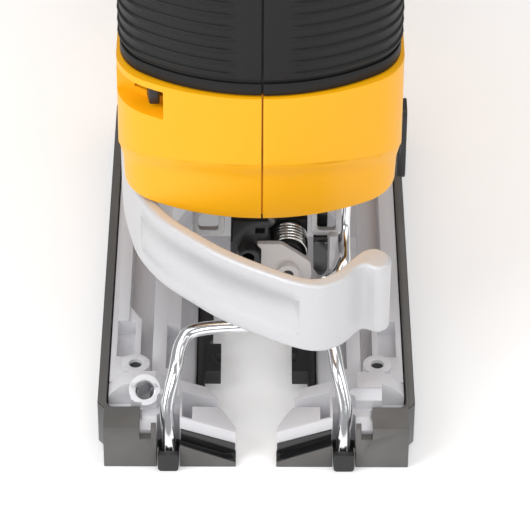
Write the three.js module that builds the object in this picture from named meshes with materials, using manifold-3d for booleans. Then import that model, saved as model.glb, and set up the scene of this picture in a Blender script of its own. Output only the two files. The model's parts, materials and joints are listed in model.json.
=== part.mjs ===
// A cordless top-handle jigsaw, built as an assembly of separate pieces.
// Millimetres. +Z up, -Y forwards (towards the cut), +X to the tool's left.
// The origin is the centre of the sole's underside.
import * as THREE from 'three';
import { mergeVertices } from 'three/addons/utils/BufferGeometryUtils.js';
import Module from 'manifold-3d';

const wasm = await Module();
wasm.setup();

// ---------------------------------------------------------------- driving dimensions
const GAP = 0.3;                      // running gap between neighbouring pieces
const NOSE_STEPS = 14;                // facets in each round corner of the nose
const SPLIT = 1.1;                    // the housing halves meet on this x
const NOSE_X = 0.6;                   // centre of the nose and head

const SHOE = {
  halfLength: 65, halfWidth: 36.2, frontHalfWidth: 34.6, wallHeight: 11.5, wall: 2.1, sole: 2,
  slotNeck: 4.6, slotMid: 10.3, slotWide: 12, slotEnd: -4, noseEnd: -57,
};
const WIRE = { radius: 1.6, tipX: 19.7, cornerX: 15.5, barZ: 24.5, barY: -45.5 };
const NOSE = {
  bottom: 53, crease: 69, sideCrease: 62.5, bandTop: 86.2, headTop: 150,
  frontY: -41.5, halfWidth: 31, bandStep: 0.9, arcRadius: 49, cornerRadius: 13, wall: 2.4, backY: 34,
};
const HEAD_BACK = 14;
const HEAD = { halfWidth: 31.1, frontY: -41.6, arcRadius: 44, cornerRadius: 13, skin: 1.6, groove: 1 };
const BARREL = { halfWidth: 31, bottom: 53, top: 112, radius: 16, backY: 96, wall: 2.6 };
const HANDLE = { halfWidth: 16, halfDepth: 14, wall: 3.4, grip: 1.6, steps: 14 };
const MOTOR = { z: 80, canOuter: 23, canInner: 20.6, front: 10, back: 66, shaft: 2.5 };
const GEAR = { module: 0.94, wheelTeeth: 40, pinionTeeth: 8, front: -14, back: -8, bore: 3.3 };
const STROKE = 20;                    // blade stroke
const PLUNGER = { y: -27, radius: 4.5, bottom: 42, top: 126 };
const LEVER = { bottom: 34, top: 52.5, pivotX: -27.5, pivotY: 3, hub: 4.4, pin: 2 };
const ROLLER = { y: -15, z: 9, radius: 6, halfWidth: 2 };
const FORK_PIVOT = { y: 2, z: 38 };
const BEVEL = { arch: 22, archWall: 3.6, cradle: 22.4, frontY: 14, backY: 58, boltY: 36 };
const BATTERY = { halfWidth: 37, front: 119, back: 187, bottom: 62, seam: 86, top: 112 };

const gearZ = MOTOR.z + (GEAR.module * (GEAR.wheelTeeth + GEAR.pinionTeeth)) / 2;

// ---------------------------------------------------------------- finishes
function finish(colour, roughness, metalness = 0) {
  return new THREE.MeshStandardMaterial({ color: colour, roughness, metalness });
}

const FINISH = {
  yellow: finish(0xf6a800, 0.42),
  black: finish(0x2b2c2f, 0.75),
  darkPlastic: finish(0x1b1b1d, 0.55),
  soleCover: finish(0x6e6966, 0.5),
  castAluminium: finish(0xd6d6da, 0.5, 0.7),
  steel: finish(0xb4b6b8, 0.35, 1),
  darkSteel: finish(0x3a3a3c, 0.4, 0.9),
  chrome: finish(0xe6e8ea, 0.12, 1),
  copper: finish(0xb5703a, 0.4, 0.9),
  cell: finish(0x3f7fae, 0.5),
};

// ---------------------------------------------------------------- solids
function toSolid(geometry) {
  const bare = geometry.clone();
  bare.deleteAttribute('normal');
  bare.deleteAttribute('uv');
  const merged = mergeVertices(bare, 1e-4);
  const mesh = new wasm.Mesh({
    numProp: 3,
    vertProperties: new Float32Array(merged.attributes.position.array),
    triVerts: new Uint32Array(merged.index.array),
  });
  return new wasm.Manifold(mesh);
}

function toGeometry(solid) {
  const { vertProperties, triVerts } = solid.getMesh();
  const geometry = new THREE.BufferGeometry();
  geometry.setAttribute('position', new THREE.BufferAttribute(vertProperties, 3));
  geometry.setIndex(new THREE.BufferAttribute(triVerts, 1));
  geometry.computeVertexNormals();
  return geometry;
}

function unite(...solids) {
  return solids.reduce((sum, next) => sum.add(next));
}

function cut(body, ...tools) {
  return tools.reduce((left, tool) => left.subtract(tool), body);
}

function extruded(shape, depth, options) {
  return new THREE.ExtrudeGeometry(shape, { depth, bevelEnabled: false, curveSegments: 8, ...options });
}

// A plan outline (x, y) raised from z0 to z1.
function alongZ(shape, z0, z1, options = {}) {
  return toSolid(extruded(shape, z1 - z0, options).translate(0, 0, z0));
}

// A side outline (y, z) swept from x0 to x1.
function alongX(shape, x0, x1, options = {}) {
  const turn = new THREE.Matrix4().set(0, 0, 1, x0, 1, 0, 0, 0, 0, 1, 0, 0, 0, 0, 0, 1);
  return toSolid(extruded(shape, x1 - x0, options).applyMatrix4(turn));
}

// A front outline (x, z) swept from y0 to y1.
function alongY(shape, y0, y1, options = {}) {
  const turn = new THREE.Matrix4().set(1, 0, 0, 0, 0, 0, -1, y1, 0, 1, 0, 0, 0, 0, 0, 1);
  return toSolid(extruded(shape, y1 - y0, options).applyMatrix4(turn));
}

function box(x0, x1, y0, y1, z0, z1) {
  const geometry = new THREE.BoxGeometry(x1 - x0, y1 - y0, z1 - z0);
  return toSolid(geometry.translate((x0 + x1) / 2, (y0 + y1) / 2, (z0 + z1) / 2));
}

function rod(axis, at, radius, from, to, sides = 24) {
  const geometry = new THREE.CylinderGeometry(radius, radius, to - from, sides);
  geometry.translate(0, (from + to) / 2, 0);
  if (axis === 'z') geometry.rotateX(Math.PI / 2);
  if (axis === 'x') geometry.rotateZ(-Math.PI / 2);
  const shift = { x: [0, at[0], at[1]], y: [at[0], 0, at[1]], z: [at[0], at[1], 0] }[axis];
  return toSolid(geometry.translate(...shift));
}

function ring(axis, at, outer, inner, from, to, sides = 32) {
  return cut(rod(axis, at, outer, from, to, sides), rod(axis, at, inner, from - 1, to + 1, sides));
}

function polygon(points) {
  return new THREE.Shape(points.map(([u, v]) => new THREE.Vector2(u, v)));
}

// A polygon whose corners are rounded; each point is [u, v, radius].
function rounded(points) {
  const shape = new THREE.Shape();
  points.forEach(([u, v, radius = 0], i) => {
    const corner = new THREE.Vector2(u, v);
    const before = new THREE.Vector2(...points.at(i - 1).slice(0, 2)).sub(corner).normalize();
    const after = new THREE.Vector2(...points[(i + 1) % points.length].slice(0, 2)).sub(corner).normalize();
    const reach = radius / Math.tan(before.angleTo(after) / 2);
    const start = corner.clone().addScaledVector(before, reach);
    const end = corner.clone().addScaledVector(after, reach);
    if (i === 0) shape.moveTo(start.x, start.y);
    else shape.lineTo(start.x, start.y);
    if (radius > 0) shape.quadraticCurveTo(u, v, end.x, end.y);
  });
  shape.closePath();
  return shape;
}

function rectangle(u0, u1, v0, v1, radius = 0) {
  return rounded([[u0, v0, radius], [u1, v0, radius], [u1, v1, radius], [u0, v1, radius]]);
}

function mirrored(solid) {
  const geometry = toGeometry(solid);
  geometry.scale(-1, 1, 1);
  const index = geometry.index.array;
  for (let i = 0; i < index.length; i += 3) {
    [index[i + 1], index[i + 2]] = [index[i + 2], index[i + 1]];
  }
  return toSolid(geometry);
}

function bothSides(solid) {
  return unite(solid, mirrored(solid));
}

// A round bar along a path of points, with closed ends.
function bar(points, radius, steps, sides = 10) {
  const path = new THREE.CatmullRomCurve3(points.map((p) => new THREE.Vector3(...p)), false, 'centripetal');
  const section = new THREE.Shape();
  section.absarc(0, 0, radius, 0, Math.PI * 2, false);
  const geometry = new THREE.ExtrudeGeometry(section, {
    steps, extrudePath: path, bevelEnabled: false, curveSegments: sides,
  });
  return toSolid(geometry);
}

const group = new THREE.Group();

function add(name, solid, material) {
  const mesh = new THREE.Mesh(toGeometry(solid), material);
  mesh.name = name;
  group.add(mesh);
  return solid;
}

// ---------------------------------------------------------------- housing
// The plan outline of the nose: straight sides, two round corners and a shallow front arc.
function noseOutline(halfWidth, frontY, arcRadius, cornerRadius, backY) {
  const arcY = frontY + arcRadius;
  const cornerX = halfWidth - cornerRadius;
  const cornerY = arcY - Math.sqrt((arcRadius - cornerRadius) ** 2 - cornerX ** 2);
  const meet = Math.atan2(cornerY - arcY, cornerX);
  const shape = new THREE.Shape();
  shape.moveTo(NOSE_X - halfWidth, backY);
  shape.lineTo(NOSE_X - halfWidth, cornerY);
  shape.absarc(NOSE_X - cornerX, cornerY, cornerRadius, Math.PI, Math.PI * 3 - meet, false);
  shape.absarc(NOSE_X, arcY, arcRadius, Math.PI - meet - Math.PI * 2, meet, false);
  shape.absarc(NOSE_X + cornerX, cornerY, cornerRadius, meet, 0, false);
  shape.lineTo(NOSE_X + halfWidth, backY);
  shape.closePath();
  return shape;
}

// Yellow nose section, drawn inwards by inset.
function noseSection(inset, grow, z0, z1, backY = NOSE.backY) {
  const outline = noseOutline(
    NOSE.halfWidth + grow - inset, NOSE.frontY - grow + inset,
    NOSE.arcRadius + grow - inset, NOSE.cornerRadius - inset, backY - inset,
  );
  return alongZ(outline, z0, z1, { curveSegments: NOSE_STEPS });
}

function headSection(inset, z0, z1, backY) {
  const outline = noseOutline(
    HEAD.halfWidth - inset, HEAD.frontY + inset, HEAD.arcRadius - inset, HEAD.cornerRadius - inset, backY,
  );
  return alongZ(outline, z0, z1, { curveSegments: NOSE_STEPS });
}

// The handle is a rounded section swept along this side-view centre line (y, z).
const HANDLE_LINE = [
  [-15, 132], [-12, 150], [8, 169], [40, 176], [74, 172], [97, 154], [104, 126], [103, 98], [103, 80],
];

function handleSweep(halfX, halfDepth, line, steps, corner) {
  const path = new THREE.CatmullRomCurve3(
    line.map(([y, z]) => new THREE.Vector3(0, y, z)), false, 'centripetal',
  );
  const section = rectangle(-halfX, halfX, -halfDepth, halfDepth, corner);
  return toSolid(new THREE.ExtrudeGeometry(section, {
    steps, extrudePath: path, bevelEnabled: false, curveSegments: 3,
  }));
}

function housingShell() {
  const skirt = noseSection(0, 0, NOSE.bottom, NOSE.crease);
  const underBand = alongX(polygon([
    [-60, NOSE.crease + 4], [NOSE.frontY - NOSE.bandStep, NOSE.crease], [-24, NOSE.sideCrease],
    [60, NOSE.sideCrease], [60, 0], [-60, 0],
  ]), -60, 60);
  const band = cut(noseSection(0, NOSE.bandStep, NOSE.sideCrease - 1, NOSE.bandTop), underBand);
  const head = headSection(HEAD.skin + GAP, NOSE.bandTop - 0.01, NOSE.headTop, HEAD_BACK);
  const barrelOutline = rectangle(
    -BARREL.halfWidth, BARREL.halfWidth, BARREL.bottom, BARREL.top, BARREL.radius,
  );
  const barrel = alongY(barrelOutline, 12, BARREL.backY, { curveSegments: 5 });
  const handle = handleSweep(HANDLE.halfWidth, HANDLE.halfDepth, HANDLE_LINE, HANDLE.steps, 10);
  const footOutline = rectangle(BARREL.backY - 12, BATTERY.front - GAP, 64, 116, 4);
  const foot = alongX(footOutline, 1 - BARREL.halfWidth, BARREL.halfWidth - 1);
  return unite(skirt, band, head, barrel, handle, foot);
}

function housingHollow() {
  const wall = NOSE.wall;
  const inner = BARREL.wall;
  const nose = noseSection(wall, 0, NOSE.bottom - 1, NOSE.bandTop - 2, 16);
  const head = headSection(HEAD.skin + GAP + 1.8, NOSE.bandTop - 3, NOSE.headTop - 3, HEAD_BACK - 3);
  const barrelOutline = rectangle(
    inner - BARREL.halfWidth, BARREL.halfWidth - inner,
    BARREL.bottom + inner, BARREL.top - inner, BARREL.radius - inner,
  );
  const barrel = alongY(barrelOutline, 8, 77, { curveSegments: 4 });
  const fanBay = alongY(barrelOutline, 83, BARREL.backY - 3, { curveSegments: 4 });
  const grip = handleSweep(
    HANDLE.halfWidth - HANDLE.wall, HANDLE.halfDepth - HANDLE.wall, HANDLE_LINE, HANDLE.steps, 7,
  );
  const footBay = box(-26, 26, 98, BATTERY.front - 3.4, 68, 112);
  const bearingSeat = rod('y', [0, MOTOR.z], 8.3, 76, 84);
  return unite(nose, head, barrel, fanBay, grip, footBay, bearingSeat);
}

const DIAL = { at: [89.7, 168.2], radius: 11.6, half: 3.9 };
const LOCK = [26, 173];
const SELECTOR = [-2, 51];
const NOTCH = { left: -29.6, right: -20.6, bottom: 77.4, top: 84.6, rise: -25.4, deep: -30.8, shell: 1.8 };

const cutters = {
  trigger: box(-6.3, 6.3, 15, 43, 146, 166),
  lock: rod('x', LOCK, 4.4, -30, 30, 20),
  dial: rod('x', DIAL.at, DIAL.radius + 0.6, -DIAL.half - 0.4, DIAL.half + 0.4, 32),
  blower: alongZ(polygon([
    [-40, NOTCH.rise], [NOTCH.left, NOTCH.rise], [NOTCH.right, NOTCH.deep], [NOTCH.right, -60], [-40, -60],
  ]), NOTCH.bottom, NOTCH.top),
  blowerStem: alongZ(polygon([[-28.4, -28.8], [-22, -32.4], [-17.9, -25.6], [-24.4, -21.9]]), 78.8, 82.4),
  selector: rod('x', SELECTOR, 3.4, 26, 40, 20),
  terminals: box(-18, 18, 110, 125, 84, 104),
  gearCase: box(-22.6, 22.6, 10, 60, 52, 56),
  leverEar: box(-29.8, -20, -2.6, 11.6, 52, 57),
};

// Each screw crosses the split at [y, z]; its head sits in a recess from headX outwards.
const SCREWS = [[5, 137, 25], [2, 162, 11], [101.5, 140, 11], [90, 61, 22], [90, 104, 22]];
const SCREW = { radius: 1.5, head: 3, headHeight: 2.4, tip: -8 };

function screwBosses() {
  return unite(...SCREWS.map(([y, z, headX]) => rod('x', [y, z], 4.4, -headX - 4.5, headX + 4.5, 12)));
}

function screwHoles() {
  const shafts = SCREWS.map(([y, z]) => rod('x', [y, z], SCREW.radius + GAP, SCREW.tip - 1, 40, 12));
  const heads = SCREWS.map(([y, z, headX]) => rod('x', [y, z], SCREW.head + GAP, headX - GAP, 60, 16));
  return unite(...shafts, ...heads);
}

// Cooling slots through both sides of the barrel, behind the motor.
function vents() {
  const slots = [];
  for (let i = 0; i < 5; i += 1) {
    const y = 50 + 5 * i;
    slots.push(box(-60, 60, y, y + 2.4, 70, 92));
  }
  return unite(...slots);
}

const half = {
  left: box(SPLIT + 0.2, 90, -90, 200, -10, 250), right: box(-90, SPLIT - 0.2, -90, 200, -10, 250),
};

// Sloping floor behind the blower notch, closed against the nose's wall.
function notchFloor() {
  const n = NOTCH;
  const block = alongZ(polygon([
    [n.left - 1, n.rise + n.shell], [n.right + n.shell, n.deep + n.shell], [n.right + n.shell, -60],
    [n.left - 1, -60],
  ]), n.bottom - n.shell, n.top + 0.4);
  return block.intersect(noseSection(0.4, NOSE.bandStep, n.bottom - 3, NOSE.bandTop));
}

const shell = cut(
  unite(cut(housingShell(), housingHollow()), screwBosses(), notchFloor()),
  ...Object.values(cutters), screwHoles(), vents(),
);
add('housing_left', shell.intersect(half.left), FINISH.yellow);
add('housing_right', shell.intersect(half.right), FINISH.yellow);

// Soft black cover over the front of the head, with its shallow groove above the yellow band.
function headCover() {
  const bottom = NOSE.bandTop + 0.4;
  const top = NOSE.headTop + HEAD.skin;
  const lip = headSection(0, bottom, bottom + 3);
  const waist = headSection(HEAD.groove - 0.4, bottom + 2.9, bottom + 4.2);
  const body = headSection(0, bottom + 4.1, top - 2);
  const crown = headSection(1.2, top - 2.01, top);
  const outer = unite(lip, waist, body, crown);
  const inner = headSection(HEAD.skin, bottom - 1, NOSE.headTop + GAP, HEAD_BACK + GAP);
  const handle = handleSweep(HANDLE.halfWidth + GAP, HANDLE.halfDepth + GAP, HANDLE_LINE, HANDLE.steps, 10);
  return cut(outer, inner, handle, box(-50, 50, HEAD_BACK - 1.4, 60, 0, 200), screwHoles());
}

const cover = headCover();
add('head_cover_left', cover.intersect(half.left), FINISH.black);
add('head_cover_right', cover.intersect(half.right), FINISH.black);

// Soft sleeve round the top bar of the handle.
function handleSleeve() {
  const outer = handleSweep(
    HANDLE.halfWidth + GAP + HANDLE.grip, HANDLE.halfDepth + GAP + HANDLE.grip, HANDLE_LINE, HANDLE.steps, 11,
  );
  const inner = handleSweep(HANDLE.halfWidth + GAP, HANDLE.halfDepth + GAP, HANDLE_LINE, HANDLE.steps, 10);
  const span = box(-30, 30, 12, 88, 150, 220);
  return cut(
    cut(outer, inner).intersect(span), cutters.trigger, cutters.lock, cutters.dial, screwHoles(),
  );
}

const sleeve = handleSleeve();
add('handle_grip_left', sleeve.intersect(half.left), FINISH.black);
add('handle_grip_right', sleeve.intersect(half.right), FINISH.black);

SCREWS.forEach(([y, z, headX], i) => {
  const shank = rod('x', [y, z], SCREW.radius, SCREW.tip, headX + 0.1, 8);
  const head = rod('x', [y, z], SCREW.head, headX, headX + SCREW.headHeight, 12);
  const socket = rod('x', [y, z], 1.5, headX + 1, headX + 5, 6);
  add(`housing_screw_${i + 1}`, cut(unite(shank, head), socket), FINISH.darkSteel);
});

// ---------------------------------------------------------------- gear case
function sector(outer, inner, halfAngle, y0, y1) {
  const shape = new THREE.Shape();
  shape.absarc(0, 0, outer, Math.PI / 2 - halfAngle, Math.PI / 2 + halfAngle, false);
  shape.absarc(0, 0, inner, Math.PI / 2 + halfAngle, Math.PI / 2 - halfAngle, true);
  shape.closePath();
  return alongY(shape, y0, y1, { curveSegments: 10 });
}

const CASE = { side: 24, wall: 3, sideFront: -24, front: -33, back: 0, floor: 68, top: 126 };
const BUSH = { outer: 6.5, inner: PLUNGER.radius + 0.08, length: 5 };

function gearCase() {
  const c = CASE;
  const rearWall = box(-c.side, c.side, -6, c.back, c.floor - 4, c.top);
  const floor = box(-20, 20, c.front - 1, c.back, c.floor, c.floor + BUSH.length);
  const roof = unite(
    box(-16, 16, c.front, -17.5, c.top - 6, c.top),
    box(-c.side, c.side, c.sideFront, -17.5, c.top - 6, c.top),
  );
  const side = box(c.side - c.wall, c.side, c.sideFront, c.back, c.floor, c.top);
  const sill = box(-c.side, c.side, c.sideFront, c.back, c.floor, c.floor + BUSH.length);
  const rodLug = box(18, c.side, -30.6, c.sideFront + 1, c.floor, c.floor + BUSH.length);
  const neck = box(-12, 12, -6, 9, 44, c.floor + 1);
  const base = box(-22, 22, 6, 58, 44, 50);
  const cradle = sector(46, BEVEL.cradle, 0.33, BEVEL.frontY + 2, BEVEL.backY - 2);
  const pivotEar = alongZ(rounded([
    [-29.5, -2, 1], [-22, -2, 1], [-10, 5, 1], [-10, 11, 1], [-27, 11, 2], [-29.5, 8, 2],
  ]), LEVER.top + 0.5, LEVER.top + 4);
  const earNeck = box(-20, -10, 5, 9, LEVER.top - 6, LEVER.top + 4);
  const body = unite(
    rearWall, floor, sill, rodLug, roof, bothSides(side), neck, base, cradle, pivotEar, earNeck,
  );
  return cut(
    body,
    rod('z', [0, PLUNGER.y], BUSH.outer + GAP, c.floor - 2, c.floor + BUSH.length + 1, 32),
    rod('z', [0, PLUNGER.y], BUSH.outer + GAP, c.top - BUSH.length - 2, c.top + 1, 32),
    rod('y', [0, MOTOR.z], 9.8, -8, 2, 32),
    rod('y', [0, gearZ], 3.3, -8, -1, 24),
    rod('z', [LEVER.pivotX, LEVER.pivotY], LEVER.pin + GAP, 50, 60, 20),
    rod('z', [0, BEVEL.boltY], 3.3, 20, 40, 16),
    rod('x', [FORK_PIVOT.y, FORK_PIVOT.z], 2.3, -20, 20, 16),
    box(-4.9, 4.9, FORK_PIVOT.y - 9, FORK_PIVOT.y + 5.4, 30, 52),
  );
}

add('gear_case', gearCase(), FINISH.castAluminium);
add('gear_axle', rod('y', [0, gearZ], 3, GEAR.front + 0.5, -1.3, 24), FINISH.steel);
add('lower_bushing', ring(
  'z', [0, PLUNGER.y], BUSH.outer, BUSH.inner, CASE.floor, CASE.floor + BUSH.length, 24,
), FINISH.steel);
add('upper_bushing', ring(
  'z', [0, PLUNGER.y], BUSH.outer, BUSH.inner, CASE.top - BUSH.length, CASE.top, 24,
), FINISH.steel);

// Two stamped brackets hang under the gear case, either side of the clamp.
function hangingBracket(x0, x1) {
  const outer = rectangle(x0, x1, 42, 67.7, 1.6);
  const inner = rectangle(x0 + 1.3, x1 - 1.3, 43.4, 69, 1);
  return cut(alongY(outer, -33, -31.5), alongY(inner, -34, -30));
}

add('bracket_right', hangingBracket(-14.6, -7.4), FINISH.steel);
const hanger = alongY(polygon([
  [16.5, 33.9], [17, 33.9], [17.8, 37.6], [18.3, 43.2], [16.5, 43.2],
]), -35, -32.4);
add('bracket_left', unite(hangingBracket(12.3, 19.2), hanger), FINISH.steel);

// ---------------------------------------------------------------- motor and gears
// A plan of a gear: trapezoid teeth on a root circle, in the (x, z) plane about its own centre.
function gearOutline(teeth, phase) {
  const pitch = (GEAR.module * teeth) / 2;
  const root = pitch - GEAR.module * 1.15;
  const tip = pitch + GEAR.module * 0.8;
  const step = (Math.PI * 2) / teeth;
  const points = [];
  for (let i = 0; i < teeth; i += 1) {
    const centre = phase + i * step;
    [[-0.29, root], [-0.13, tip], [0.13, tip], [0.29, root]].forEach(([part, radius]) => {
      const angle = centre + part * step;
      points.push([radius * Math.cos(angle), radius * Math.sin(angle)]);
    });
  }
  return points;
}

function gear(teeth, phase, z, y0, y1, bore) {
  const outline = polygon(gearOutline(teeth, phase).map(([x, h]) => [x, h + z]));
  return cut(alongY(outline, y0, y1), rod('y', [0, z], bore, y0 - 1, y1 + 1, 24));
}

const down = -Math.PI / 2;
const up = Math.PI / 2;
const pinionPhase = up + Math.PI / GEAR.pinionTeeth;
const crank = STROKE / 2;

function driveGear() {
  const wheel = gear(GEAR.wheelTeeth, down, gearZ, GEAR.front, GEAR.back, GEAR.bore);
  const web = cut(
    ring('y', [0, gearZ], 15.4, 6.4, GEAR.front - 1, GEAR.front + 1.8, 32),
    rod('y', [0, gearZ - crank], 4.6, GEAR.front - 2, GEAR.back, 20),
  );
  const pin = rod('y', [0, gearZ - crank], 2.8, -21.7, GEAR.front + 0.2, 20);
  const weight = cut(
    rod('y', [0, gearZ], 14, GEAR.front - 2.4, GEAR.front + 2, 32),
    rod('y', [0, gearZ], 6.6, -30, 0, 32), box(-30, 30, -40, 0, gearZ - 40, gearZ + 2),
  );
  return unite(cut(wheel, web), pin, weight);
}

add('drive_gear', driveGear(), FINISH.steel);
add('motor_can', cut(
  ring('y', [0, MOTOR.z], MOTOR.canOuter, MOTOR.canInner, MOTOR.front, MOTOR.back, 40),
  box(-30, 30, 36, 48, MOTOR.z + 21.4, MOTOR.z + 30),
), FINISH.darkSteel);
add('front_bearing', ring('y', [0, MOTOR.z], 9.5, MOTOR.shaft + GAP, -5, 2, 32), FINISH.steel);
add('rear_bearing', ring('y', [0, MOTOR.z], 8, MOTOR.shaft + GAP, 77.3, 82.7, 32), FINISH.steel);
add('rotor_shaft', rod('y', [0, MOTOR.z], MOTOR.shaft, -15, 84, 20), FINISH.steel);

function armature() {
  const core = rod('y', [0, MOTOR.z], 19.6, 18, 54, 40);
  const slots = Array.from({ length: 8 }, (_, i) => {
    const slot = new THREE.BoxGeometry(2, 50, 8).translate(0, 36, 18).rotateY((i * Math.PI) / 4);
    return toSolid(slot.translate(0, 0, MOTOR.z));
  });
  const bore = rod('y', [0, MOTOR.z], MOTOR.shaft + GAP, 10, 60, 20);
  return cut(core, ...slots, bore);
}

add('armature', armature(), FINISH.copper);

function coolingFan() {
  const hub = rod('y', [0, MOTOR.z], 7, 68, 74, 24);
  const disc = rod('y', [0, MOTOR.z], 21, 72.4, 74, 32);
  const blades = Array.from({ length: 10 }, (_, i) => {
    const blade = new THREE.BoxGeometry(1.4, 5.4, 15).translate(0, 70.3, 13).rotateY((i * Math.PI) / 5);
    return toSolid(blade.translate(0, 0, MOTOR.z));
  });
  return cut(unite(hub, disc, ...blades), rod('y', [0, MOTOR.z], MOTOR.shaft + GAP, 60, 80, 20));
}

add('cooling_fan', coolingFan(), FINISH.darkPlastic);
add('pinion', gear(
  GEAR.pinionTeeth, pinionPhase, MOTOR.z, GEAR.front - 0.8, GEAR.back + 0.6, MOTOR.shaft + 0.1,
), FINISH.darkSteel);

// ---------------------------------------------------------------- plunger and blade clamp
function plunger() {
  const yokeZ = gearZ - crank;
  const shaft = rod('z', [0, PLUNGER.y], PLUNGER.radius, PLUNGER.bottom, PLUNGER.top, 24);
  const yoke = box(-16, 16, -25.6, -22, yokeZ - 6, yokeZ + 6);
  const slot = box(-13.6, 13.6, -23.8, -20, yokeZ - 3.1, yokeZ + 3.1);
  return cut(unite(shaft, yoke), slot);
}

add('plunger', plunger(), FINISH.steel);

const CLAMP = {
  front: -35, back: -21, bottom: 29, shoulder: 41.7, top: 47.4,
  camX: 7.1, camZ: 34.4, pin: 1, boss: 2.6, ringX: -2, ringZ: 39.2, ring: 2.5, ringBore: 1.5,
};
const SPRING = { x: 7.4, z: 37.6, outer: 4.3, inner: 3.3, front: -33.9, back: -26.9 };

function clampBody() {
  const c = CLAMP;
  const block = alongY(rounded([
    [-6, c.bottom, 1], [2.6, c.bottom, 1], [2.6, c.shoulder, 0.5], [-6, c.shoulder, 0.5],
  ]), c.front, c.back);
  const stub = box(-5.5, 2.6, c.front, -31.9, c.shoulder - 0.2, c.top);
  const ear = box(2, 11.6, c.front, SPRING.front - GAP, c.bottom + 1, 36.2);
  const backPlate = box(2, 11.6, SPRING.back + GAP, -24, 33, c.shoulder);
  const spindle = rod('y', [SPRING.x, SPRING.z], SPRING.inner - GAP, c.front + 0.5, -25, 20);
  const collar = rod('y', [c.ringX, c.ringZ], c.ring, c.front - 3, c.front + 0.5, 28);
  const pin = rod('y', [c.camX, c.camZ], c.pin, c.front - 2.4, c.front + 0.5, 16);
  return cut(
    unite(block, stub, ear, backPlate, spindle, collar, pin),
    rod('y', [c.ringX, c.ringZ], c.ringBore, c.front - 4, c.front + 3, 20),
    box(-0.8, 0.8, -31.5, -20, 28, 36.5),
    box(-0.4, 1.8, -36, -33.4, 44, 45.6),
  );
}

add('clamp_body', clampBody(), FINISH.darkSteel);

function clampCam() {
  const c = CLAMP;
  const plate = alongY(rounded([
    [1, 40.8, 0.2], [-0.2, 42.2, 0.4], [5.6, 42.2, 2], [12.2, 37.2, 2.6], [12.6, 32.4, 2.4],
    [10, 30.6, 2], [6, 30.6, 2], [1, 33.6, 0.8],
  ]), c.front - 1.6, c.front - GAP);
  const boss = rod('y', [c.camX, c.camZ], c.boss, c.front - 2.9, c.front - 1.2, 28);
  return cut(unite(plate, boss), rod('y', [c.camX, c.camZ], c.pin + GAP, -45, -30, 20));
}

add('clamp_cam', clampCam(), FINISH.steel);
add('clamp_spring', ring(
  'y', [SPRING.x, SPRING.z], SPRING.outer, SPRING.inner, SPRING.front, SPRING.back, 28,
), FINISH.steel);

// Bright rod and dark blade stop that hang beside the clamp, under the gear case.
function guideRod() {
  return bar([
    [21, -27, 67.6], [20.6, -27.4, 56], [20, -28.2, 46], [19.9, -29.2, 41.6], [19.9, -33, 38.9],
    [19.8, -38, 38.4], [18.2, -41, 36.9], [15.6, -44.6, 37.6],
  ], 1.4, 26, 5);
}

function bladeStop() {
  const plate = alongY(rounded([
    [12.9, 67.6], [12.9, 41], [16.1, 41], [16.1, 67.6],
  ]), -28.6, -26.8);
  const lens = alongY(rounded([
    [12.9, 41.7, 0.3], [12.9, 34, 2], [14.7, 31, 1.3], [16.1, 34, 2], [16.1, 41.7, 0.3],
  ]), -35, -28.4);
  return unite(plate, lens);
}

add('guide_rod', guideRod(), FINISH.chrome);
add('blade_stop', bladeStop(), FINISH.darkPlastic);

// ---------------------------------------------------------------- blade guide roller
function rollerFork() {
  const f = FORK_PIVOT;
  const arm = alongX(rounded([
    [f.y - 4, f.z + 4, 3], [f.y + 4, f.z + 4, 3], [f.y + 4, f.z - 5, 3], [-7.6, 15, 2], [-8, 4, 2],
    [-18, 4, 2], [-18, 15, 2],
  ]), -4.4, 4.4);
  const gap = alongX(rectangle(-24, -8.4, 0, 17, 1), -2.4, 2.4);
  return cut(
    arm, gap, rod('x', [f.y, f.z], 2.35, -20, 20, 16), rod('x', [ROLLER.y, ROLLER.z], 1.8, -20, 20, 16),
  );
}

add('roller_fork', rollerFork(), FINISH.steel);
add('guide_roller', ring(
  'x', [ROLLER.y, ROLLER.z], ROLLER.radius, 1.85, -ROLLER.halfWidth, ROLLER.halfWidth, 28,
), FINISH.darkSteel);
add('roller_pin', rod('x', [ROLLER.y, ROLLER.z], 1.5, -4.5, 4.5, 16), FINISH.steel);
add('fork_pivot_pin', rod('x', [FORK_PIVOT.y, FORK_PIVOT.z], 2, -10, 10, 16), FINISH.steel);

function orbitSelector() {
  const [y, z] = SELECTOR;
  const dial = rod('x', SELECTOR, 7, 32, 33.4, 28);
  const grip = alongX(rounded([
    [y - 3.4, z + 6, 2], [y + 3.4, z + 6, 2], [y + 4, z - 13.6, 3], [y - 4, z - 13.6, 3],
  ]), 32.9, 34.8);
  return unite(dial, grip, rod('x', SELECTOR, 3, 27, 32.4, 20));
}

add('orbit_selector', orbitSelector(), FINISH.darkPlastic);

// ---------------------------------------------------------------- blade lever
// Outer face of the lever in plan, from its hub round the front to the thumb tab.
const LEVER_FACE = [
  [-31.9, 3], [-31.8, -6], [-30.8, -16], [-29.1, -24.6], [-26.8, -32.4], [-21.6, -41.2], [-15, -48],
  [-7.6, -54.6], [1.9, -60.6], [10, -64.6], [15.2, -65], [19.4, -62.4], [22, -58.8], [24, -57.4],
  [27, -58.6], [29.4, -56.6], [29.2, -53.2], [26.6, -51], [23.4, -51.8], [20.2, -55.6], [17, -59.6],
  [13.6, -61.6], [9.6, -61.2], [3.2, -57.8], [-5.8, -52], [-13, -45.8], [-19.2, -39.4], [-24, -31.2],
  [-26.2, -23.8], [-27.8, -15.6], [-28.7, -8],
];

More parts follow.
